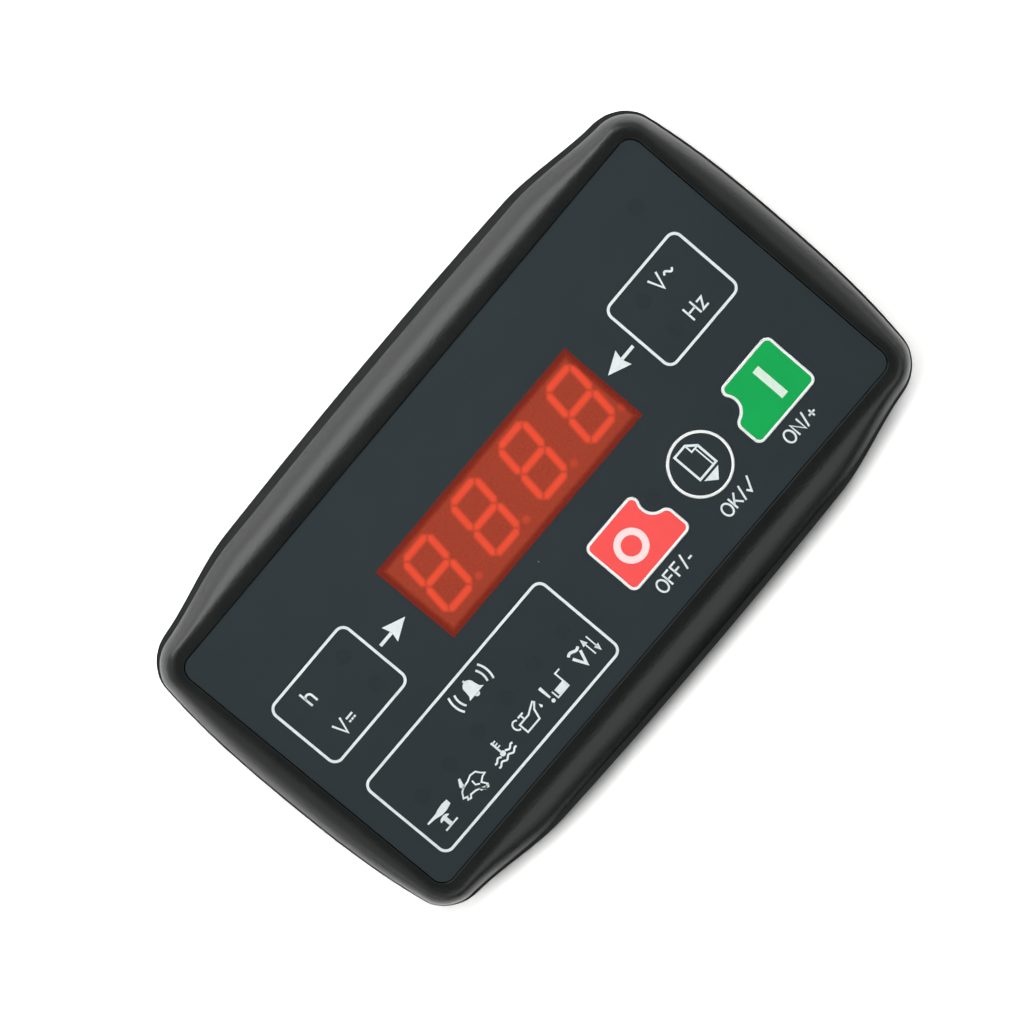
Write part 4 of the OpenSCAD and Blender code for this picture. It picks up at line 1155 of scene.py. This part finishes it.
@dataclass
class Pictogram:
    """A small sign of the print, drawn round its own origin."""

    signs: Signs
    at: tuple[float, float]

    def stroke(self, points: Sequence | Points, width: float, closed: bool = False) -> None:
        """Prints a band along points."""
        self.signs.stroke(points, width, self.at, closed=closed)

    def fill(self, points: Sequence | Points) -> None:
        """Prints a filled shape."""
        self.signs.fill(points, self.at)

    def bell(self) -> None:
        """Prints a bell with sound lines beside it."""
        side = [(-1.45, -0.95), (-1.05, -0.5), (-0.9, 0.35)]
        body = np.concatenate([side, arc((0, 0.45), 0.9, 172, 8, 12), np.array(side)[::-1] * (-1, 1)])
        self.fill(body[::-1])
        self.fill(arc((0, -1.0), (0.42, 0.42), 180, 360, 8))
        self.stroke([(0, 1.3), (0, 1.62)], 0.34)
        for way in (-1.0, 1.0):
            for radius in (2.5, 3.4):
                self.stroke(arc((0, 0.1), radius, -26, 26) * (way, 1), 0.32)

    def push_button(self) -> None:
        """Prints a hand above a mushroom button on its base."""
        hand = [(-2.2, 0.98), (-0.9, 0.78), (0.2, 0.42), (1.1, 0.40), (2.1, 0.62), (2.15, 1.38), (1.2, 1.48),
                (0.3, 1.40), (-0.4, 1.22), (-1.3, 1.22), (-2.15, 1.22)]
        self.fill(hand)
        cap = np.concatenate([[(0.85, -0.22)], arc((0, -0.22), (0.85, 0.5), 0, 180, 10)[1:]])
        self.fill(cap)
        self.stroke([(0, -0.15), (0, -1.35)], 0.62)
        self.stroke([(-1.2, -1.42), (1.2, -1.42)], 0.26)

    def hare(self) -> None:
        """Prints the outline of a leaping hare, the usual sign for too high a speed."""
        back = [(-2.3, -0.35), (-1.75, 0.35), (-1.15, 0.62), (-0.1, 0.75), (0.75, 1.05), (1.6, 0.85),
                (2.0, 0.15), (2.35, -0.25), (1.75, -0.35), (1.05, -0.75)]
        belly = [(1.45, -1.55), (0.7, -1.75), (0.35, -1.25), (-0.35, -0.9), (-1.2, -0.75), (-1.55, -1.1),
                 (-2.0, -0.95), (-1.75, -0.6)]
        self.stroke(back + belly, 0.24, closed=True)
        ear = [(-0.85, 0.6), (-0.75, 1.1), (-0.45, 1.85), (-0.75, 1.95), (-1.45, 1.1), (-1.35, 0.55)]
        self.fill(ear)
        self.stroke([(0.35, 0.35), (0.25, -0.35), (0.75, -0.75)], 0.22)
        self.fill([(0.1, -1.5), (1.25, -2.05), (1.5, -1.75), (0.2, -1.05)])

    def coolant(self) -> None:
        """Prints a thermometer that stands in waves."""
        self.stroke([(-0.05, -0.2), (-0.05, 1.75)], 0.3)
        for level in (1.5, 1.05, 0.6):
            self.stroke([(0.05, level), (0.55, level)], 0.22)
        self.fill(arc((-0.05, -0.45), 0.42, 0, 360, 16)[:-1])
        for level, ways in ((-0.55, ((-1.95, -0.55), (0.45, 1.95))), (-1.3, ((-1.95, 1.95),))):
            for start, end in ways:
                x = np.linspace(start, end, 24)
                self.stroke(np.column_stack([x, level + 0.17 * np.sin(x * 4.6)]), 0.28)

    def oil_can(self) -> None:
        """Prints an oil can with its handle, lid, spout and a drop."""
        body = [(-1.5, 0.3), (0.35, 0.3), (0.85, 0.55), (2.05, 1.1), (2.2, 0.85), (1.45, 0.2), (0.95, -1.2),
                (-1.5, -1.2)]
        self.stroke(body, 0.27, closed=True)
        self.stroke(arc((-1.75, 0.55), (0.62, 0.72), 40, 265, 14), 0.26)
        self.stroke([(-0.45, 0.35), (-0.45, 1.05)], 0.26)
        self.stroke([(-0.95, 1.12), (0.05, 1.12)], 0.28)
        self.fill(np.concatenate([arc((2.45, -0.25), 0.2, 180, 360, 8), [(2.45, 0.25)]]))

    def fuel_level(self) -> None:
        """Prints a mark beside a tank that is filled to a low level."""
        self.fill([(-2.15, 1.55), (-2.05, -0.45), (-1.75, -0.45), (-1.65, 1.55)])
        self.fill(arc((-1.9, -1.05), 0.3, 0, 360, 14)[:-1])
        self.stroke([(-1.15, -0.1), (-1.15, -1.3), (1.05, -1.3), (1.05, 1.2), (1.95, 1.2)], 0.24)
        self.fill([(-0.75, -1.2), (0.95, -1.2), (0.95, -0.2), (-0.75, -0.2)])

    def voltage(self) -> None:
        """Prints a V under a wave, with an arrow up and an arrow down beside it."""
        x = np.linspace(-2.0, 0.0, 20)
        self.stroke(np.column_stack([x, 1.25 + 0.2 * np.sin((x + 2.0) * np.pi)]), 0.42)
        self.stroke([(-1.8, 0.62), (-1.0, -1.25), (-0.2, 0.62)], 0.42)
        for place, way in ((0.85, 1.0), (1.75, -1.0)):
            self.stroke([(place, -1.3 * way), (place, 0.9 * way)], 0.2)
            tip = np.array([(0, 1.6), (-0.42, 0.55), (0.42, 0.55)])[::int(way)] * (1, way)
            self.fill(tip + (place, 0))


@dataclass
class FacePrint:
    """The white print of the film: reading boxes with arrows, the warning box, captions of the keys."""

    line: float = 0.4
    corner: float = 1.5
    left_box: tuple = ((-44.12, -1.46), (-28.12, 10.88))
    right_box: tuple = ((27.04, -1.38), (41.88, 10.96))
    warning_box: tuple = ((-43.88, -21.12), (-6.21, -5.79))
    left_arrow_tip: tuple = (-22.04, 4.70)
    right_arrow_tip: tuple = (20.96, 4.75)
    arrow_head: tuple = ((0, 0), (-3.25, 1.45), (-2.85, 0.0), (-3.25, -1.45))
    arrow_shaft: tuple = ((-2.9, 0), (-5.25, 0))
    arrow_line: float = 0.48
    # Units of the readings: glyphs, lower left corner, height of a capital
    units: tuple = ((("h",), (-39.6, 6.5), 2.376), (("V", "direct"), (-40.1, 0.45), 2.2),
                    (("V", "waves"), (34.1, 6.6), 2.31), (("H", "z"), (34.3, 0.6), 2.2))
    # Captions of the keys: glyphs and left end
    captions: tuple = ((("O", "F", "F", "/", "-"), 3.2), (("O", "K", "/", "tick"), 16.9),
                       (("O", "N", "/", "+"), 30.0))
    caption: float = 1.9
    caption_weight: float = 0.15
    caption_y: float = -20.55
    bell_at: tuple = (-23.8, -8.65)
    sign_x: tuple = (-39.95, -33.9, -27.85, -21.9, -15.9, -9.95)
    sign_y: float = -17.3

    def build(self) -> None:
        """Builds the print as one piece on the film."""
        signs = Signs(FILM_TOP)
        for low, high in (self.left_box, self.right_box, self.warning_box):
            signs.rounded(low, high, self.corner, self.line)
        for tip, way in ((self.left_arrow_tip, 1), (self.right_arrow_tip, -1)):
            signs.fill(np.array(self.arrow_head)[::way] * (way, 1), tip)
            signs.stroke(np.array(self.arrow_shaft) * (way, 1), self.arrow_line, tip)
        for text, at, height in self.units:
            Letters.write(signs, text, at, height)
        for text, x in self.captions:
            Letters.write(signs, text, (x, self.caption_y), self.caption, self.caption_weight)
        Pictogram(signs, self.bell_at).bell()
        warnings = (Pictogram.push_button, Pictogram.hare, Pictogram.coolant, Pictogram.oil_can,
                    Pictogram.fuel_level, Pictogram.voltage)
        for draw, x in zip(warnings, self.sign_x):
            draw(Pictogram(signs, (x, self.sign_y)))
        signs.build("face_print", Body.CONTROLLER, "film", Finishes.WHITE_INK)


@dataclass
class KeySigns:
    """The signs on the keys: a ring, a sheet with a pointer, and a bar."""

    # Height of the keys' coloured middles
    height: float = FILM_TOP + KeyPad.section[-1][1]
    ring_at: tuple[float, float] = (5.35, -12.71)
    ring_radius: float = 1.98
    ring_line: float = 1.0
    ring_steps: int = 64
    bar_at: tuple[float, float] = (34.55, -12.7)
    bar: tuple[float, float] = (1.2, 5.4)
    sheet_at: tuple[float, float] = (19.95, -11.75)

    def build(self) -> None:
        """Builds one piece of ink for each key."""
        ring = Signs(self.height)
        circle = arc(self.ring_at, self.ring_radius, 0, 360, self.ring_steps)[:-1]
        ring.stroke(circle, self.ring_line, closed=True)
        ring.build("stop_sign", Body.STOP, "stop_red", Finishes.RED_SIGN)
        bar = Signs(self.height)
        half = self.bar[1] / 2
        bar.stroke([(0, -half), (0, half)], self.bar[0], self.bar_at)
        bar.build("run_sign", Body.RUN, "run_green", Finishes.GREEN_SIGN)
        sheet = Signs(self.height)
        edge = [(-1.68, 2.32), (0.45, 2.32), (1.68, 1.05), (1.68, -2.32), (-1.68, -2.32)]
        sheet.stroke(edge, 0.34, self.sheet_at, closed=True)
        sheet.stroke([(0.45, 2.2), (0.45, 1.05), (1.6, 1.05)], 0.24, self.sheet_at)
        sheet.stroke([(1.12, 0.95), (1.12, -2.2)], 0.2, self.sheet_at)
        sheet.fill([(1.45, -2.85), (0.0, -4.25), (-1.45, -2.85)], self.sheet_at)
        sheet.build("page_sign", Body.PAGE, "film", Finishes.WHITE_INK)


@dataclass
class LampSpots:
    """Faint round spots of the film in front of the lamps."""

    radius: float = 1.15
    ink: float = 0.006
    steps: int = 40
    crease: float = 40.0

    def build(self) -> None:
        """Builds one piece with a spot over every lamp."""
        draft = Draft()
        for name in LAMPS:
            spot = arc(Box.of(name).centre[:2], self.radius, 0, 360, self.steps)[:-1]
            draft.plate(spot, FILM_TOP - self.ink, FILM_TOP + self.ink)
        draft.build("lamp_spots", Body.CONTROLLER, "film", [Finishes.SPOT], self.crease)


@dataclass(frozen=True)
class Panel:
    """A soft light that faces the object.

    Its elevation and azimuth are degrees, from the horizon and counter-clockwise from +X. A radiance of 1 is
    white. A reflected panel only shows in reflections, and any other one only lights matt surfaces.
    """

    name: str
    elevation: float
    azimuth: float
    distance: float
    size: tuple[float, float]
    radiance: float
    reflected: bool = True

    def hang(self) -> None:
        """Makes the light and turns it towards the object."""
        lamp = bpy.data.lights.new(self.name, "AREA")
        lamp.shape = "RECTANGLE"
        lamp.size, lamp.size_y = (side * MM for side in self.size)
        lamp.energy = math.pi * lamp.size * lamp.size_y * self.radiance
        e, a = math.radians(self.elevation), math.radians(self.azimuth)
        away = Vector((math.cos(e) * math.cos(a), math.cos(e) * math.sin(a), math.sin(e)))
        hung = bpy.data.objects.new(self.name, lamp)
        hung.visible_glossy, hung.visible_diffuse = self.reflected, not self.reflected
        hung.location = away * self.distance * MM
        hung.rotation_mode = "QUATERNION"
        hung.rotation_quaternion = away.to_track_quat("Z", "Y")
        bpy.context.scene.collection.objects.link(hung)


@dataclass
class Studio:
    """White floor, soft light from the top of the face, and the camera."""

    floor_half: float = 2500.0
    camera_at: tuple[float, float, float] = (3.88, 11.68, 232.11)
    right: tuple[float, float, float] = (0.64493, -0.76405, 0.017)
    forward: tuple[float, float, float] = (-0.02897, -0.04667, -0.99849)
    focal_px: float = 1400.0
    picture_px: float = 1024.0
    sensor: float = 36.0
    clip: tuple[float, float] = (0.01, 20.0)
    # Brightness of the surroundings in reflections: overhead, all round, low down, low down below the face
    overhead: float = 0.06
    around: float = 0.52
    low: float = 1.1
    low_below: float = 0.03
    # Brightness of the surroundings on matt surfaces, at the horizon and overhead
    fill: tuple[float, float] = (0.2, 0.2)
    # Parts of a ray's direction, upwards or up the face, between which these brightnesses change over
    ring_fade: tuple[float, float] = (0.86, 0.965)
    face_fade: tuple[float, float] = (-0.8, -0.55)
    low_fade: tuple[float, float] = (0.05, 0.4)
    fill_fade: tuple[float, float] = (0.1, 1.0)
    backdrop: float = 1.3
    paper: Colour = (0.93, 0.93, 0.925)
    paper_seen: Colour = (1.92, 1.92, 1.9)
    # The paper in reflections: a painted shadow dims it below the face, within these half length and near
    # edge
    paper_mirrored: Colour = (1.6, 1.6, 1.58)
    paper_painted_shadow: Colour = (0.05, 0.05, 0.05)
    shade_half: float = 58.0
    shade_edge: float = -30.0
    # Half width of the shade's soft ends, and width of its soft near edge
    shade_soft: tuple[float, float] = (6.0, 5.0)
    # Share of the backdrop's white that far paper has in reflections, except below the face
    far_mirrored: float = 0.6
    # Distances between which the paper fades into the white backdrop
    fade_start: float = 90.0
    fade_end: float = 260.0
    panels: tuple[Panel, ...] = (
        Panel("crown_panel", 66.0, 90.0, 700.0, (600.0, 150.0), 0.9),
        Panel("upper_panel", 46.0, 90.0, 700.0, (700.0, 300.0), 2.1),
        Panel("middle_panel", 24.0, 90.0, 700.0, (800.0, 240.0), 0.92),
        Panel("lower_panel", 8.0, 90.0, 700.0, (900.0, 150.0), 0.85),
        Panel("below_panel", 46.0, 270.0, 700.0, (900.0, 500.0), 0.27),
        Panel("key_panel", 83.0, 90.0, 280.0, (100.0, 20.0), 83.0, reflected=False))

    def build(self) -> None:
        """Builds the floor, the light and the camera."""
        self.floor()
        self.light()
        self.camera()
        bpy.context.scene.view_settings.view_transform = "Standard"

    def floor(self) -> None:
        """Lays a white plane under the back face."""
        h = self.floor_half
        mesh = bpy.data.meshes.new("floor")
        corners = np.array([(-h, -h, 0), (h, -h, 0), (h, h, 0), (-h, h, 0)]) * MM
        mesh.from_pydata(corners.tolist(), [], [[0, 1, 2, 3]])
        mesh.materials.append(self.paper_material())
        plane = bpy.data.objects.new("floor", mesh)
        bpy.context.scene.collection.objects.link(plane)

    def paper_material(self) -> bpy.types.Material:
        """Makes white paper, brighter where the camera sees it, with a painted shadow in reflections.

        Returns:
            The material.
        """
        made = bpy.data.materials.new("floor_paper")
        t = Tree.cleared(made)
        path = t.node("LightPath").outputs
        glossy = path["Is Glossy Ray"]
        seen = t.math("MAXIMUM", path["Is Camera Ray"], path["Is Transmission Ray"])
        at = t.node("SeparateXYZ", Vector=t.node("TexCoord").outputs["Object"]).outputs
        edge, half, (aside, fall) = self.shade_edge * MM, self.shade_half * MM, np.array(self.shade_soft) * MM
        below = t.span(at["Y"], (edge, edge - fall))
        between = t.span(t.math("ABSOLUTE", at["X"]), (half + aside, half - aside))
        # Painted shadow: glossy rays see the paper dark in a box below the face
        mirrored = t.math("MULTIPLY", glossy, t.math("MULTIPLY", below, between))
        shown = t.node("BsdfDiffuse", Color=self.paper).outputs["BSDF"]
        for case, colour in ((seen, self.paper_seen), (glossy, self.paper_mirrored),
                             (mirrored, self.paper_painted_shadow)):
            shown = t.blend(case, shown, t.node("BsdfDiffuse", Color=colour).outputs["BSDF"])
        away = t.math("SQRT", t.math("MULTIPLY_ADD", at["X"], at["X"], t.math("MULTIPLY", at["Y"], at["Y"])))
        far = t.span(away, (self.fade_start * MM, self.fade_end * MM), (0.0, self.backdrop))
        above = t.math("MULTIPLY_ADD", below, -self.far_mirrored, self.far_mirrored)
        lit = t.math("MULTIPLY_ADD", glossy, above, path["Is Camera Ray"])
        glow = t.node("Emission", Strength=t.math("MULTIPLY", far, lit))
        both = t.node("AddShader")
        for socket, shader in zip(both.inputs, (shown, glow.outputs["Emission"])):
            t.feed(socket, shader)
        t.node("OutputMaterial", Surface=both.outputs["Shader"])
        return made

    def light(self) -> None:
        """Sets a world that darkens upwards, soft panels beyond the top edge and a lamp high above it."""
        world = bpy.data.worlds.new("studio")
        t = Tree.cleared(world)
        way = t.node("SeparateXYZ", Vector=t.node("TexCoord").outputs["Generated"]).outputs
        ring = t.span(way["Z"], self.ring_fade, (self.around, self.overhead))
        lift = t.span(way["Y"], self.face_fade, (self.low_below - self.around, self.low - self.around))
        mirrored = t.math("MULTIPLY_ADD", t.span(way["Z"], self.low_fade, (1.0, 0.0)), lift, ring)
        path = t.node("LightPath").outputs
        matt = t.span(way["Z"], self.fill_fade, self.fill)
        shown = t.node("Background", Strength=matt).outputs["Background"]
        for case, strength in ((path["Is Glossy Ray"], mirrored), (path["Is Camera Ray"], self.backdrop)):
            shown = t.blend(case, shown, t.node("Background", Strength=strength).outputs["Background"])
        t.node("OutputWorld", Surface=shown)
        bpy.context.scene.world = world
        for panel in self.panels:
            panel.hang()

    def camera(self) -> None:
        """Sets the camera above the face, turned so that the face runs up to the right."""
        right, forward = Vector(self.right).normalized(), Vector(self.forward).normalized()
        up = right.cross(forward).normalized()
        right = forward.cross(up)
        turn = Matrix((right, up, -forward)).transposed()
        data = bpy.data.cameras.new("camera")
        data.sensor_width = self.sensor
        data.lens = self.focal_px / self.picture_px * self.sensor
        data.clip_start, data.clip_end = self.clip
        view = bpy.data.objects.new("camera", data)
        view.matrix_world = Matrix.Translation(Vector(self.camera_at) * MM) @ turn.to_4x4()
        bpy.context.scene.collection.objects.link(view)
        bpy.context.scene.camera = view


def dress_carried() -> None:
    """Gives every CAD node that is kept its finish."""
    for finish, names in (*CARRIED.items(), (Finishes.LAMP, LAMPS)):
        for name in names:
            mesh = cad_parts[name].data
            mesh.materials.clear()
            mesh.materials.append(finish.material())


def main() -> None:
    """Builds the studio and every piece in order."""
    logging.basicConfig(level=logging.INFO, format="%(name)s: %(message)s")
    Studio().build()
    dress_carried()
    Bezel().build()
    KeyPad("stop_key", Body.STOP, KeyForm.NOTCH_RIGHT, "stop_red", Finishes.RED).build()
    KeyPad("page_key", Body.PAGE, KeyForm.ROUND, "film", Finishes.FILM).build()
    KeyPad("run_key", Body.RUN, KeyForm.NOTCH_LEFT, "run_green", Finishes.GREEN).build()
    DigitBars().build()
    KeySigns().build()
    FacePrint().build()
    LampSpots().build()


if __name__ == "__main__":
    main()
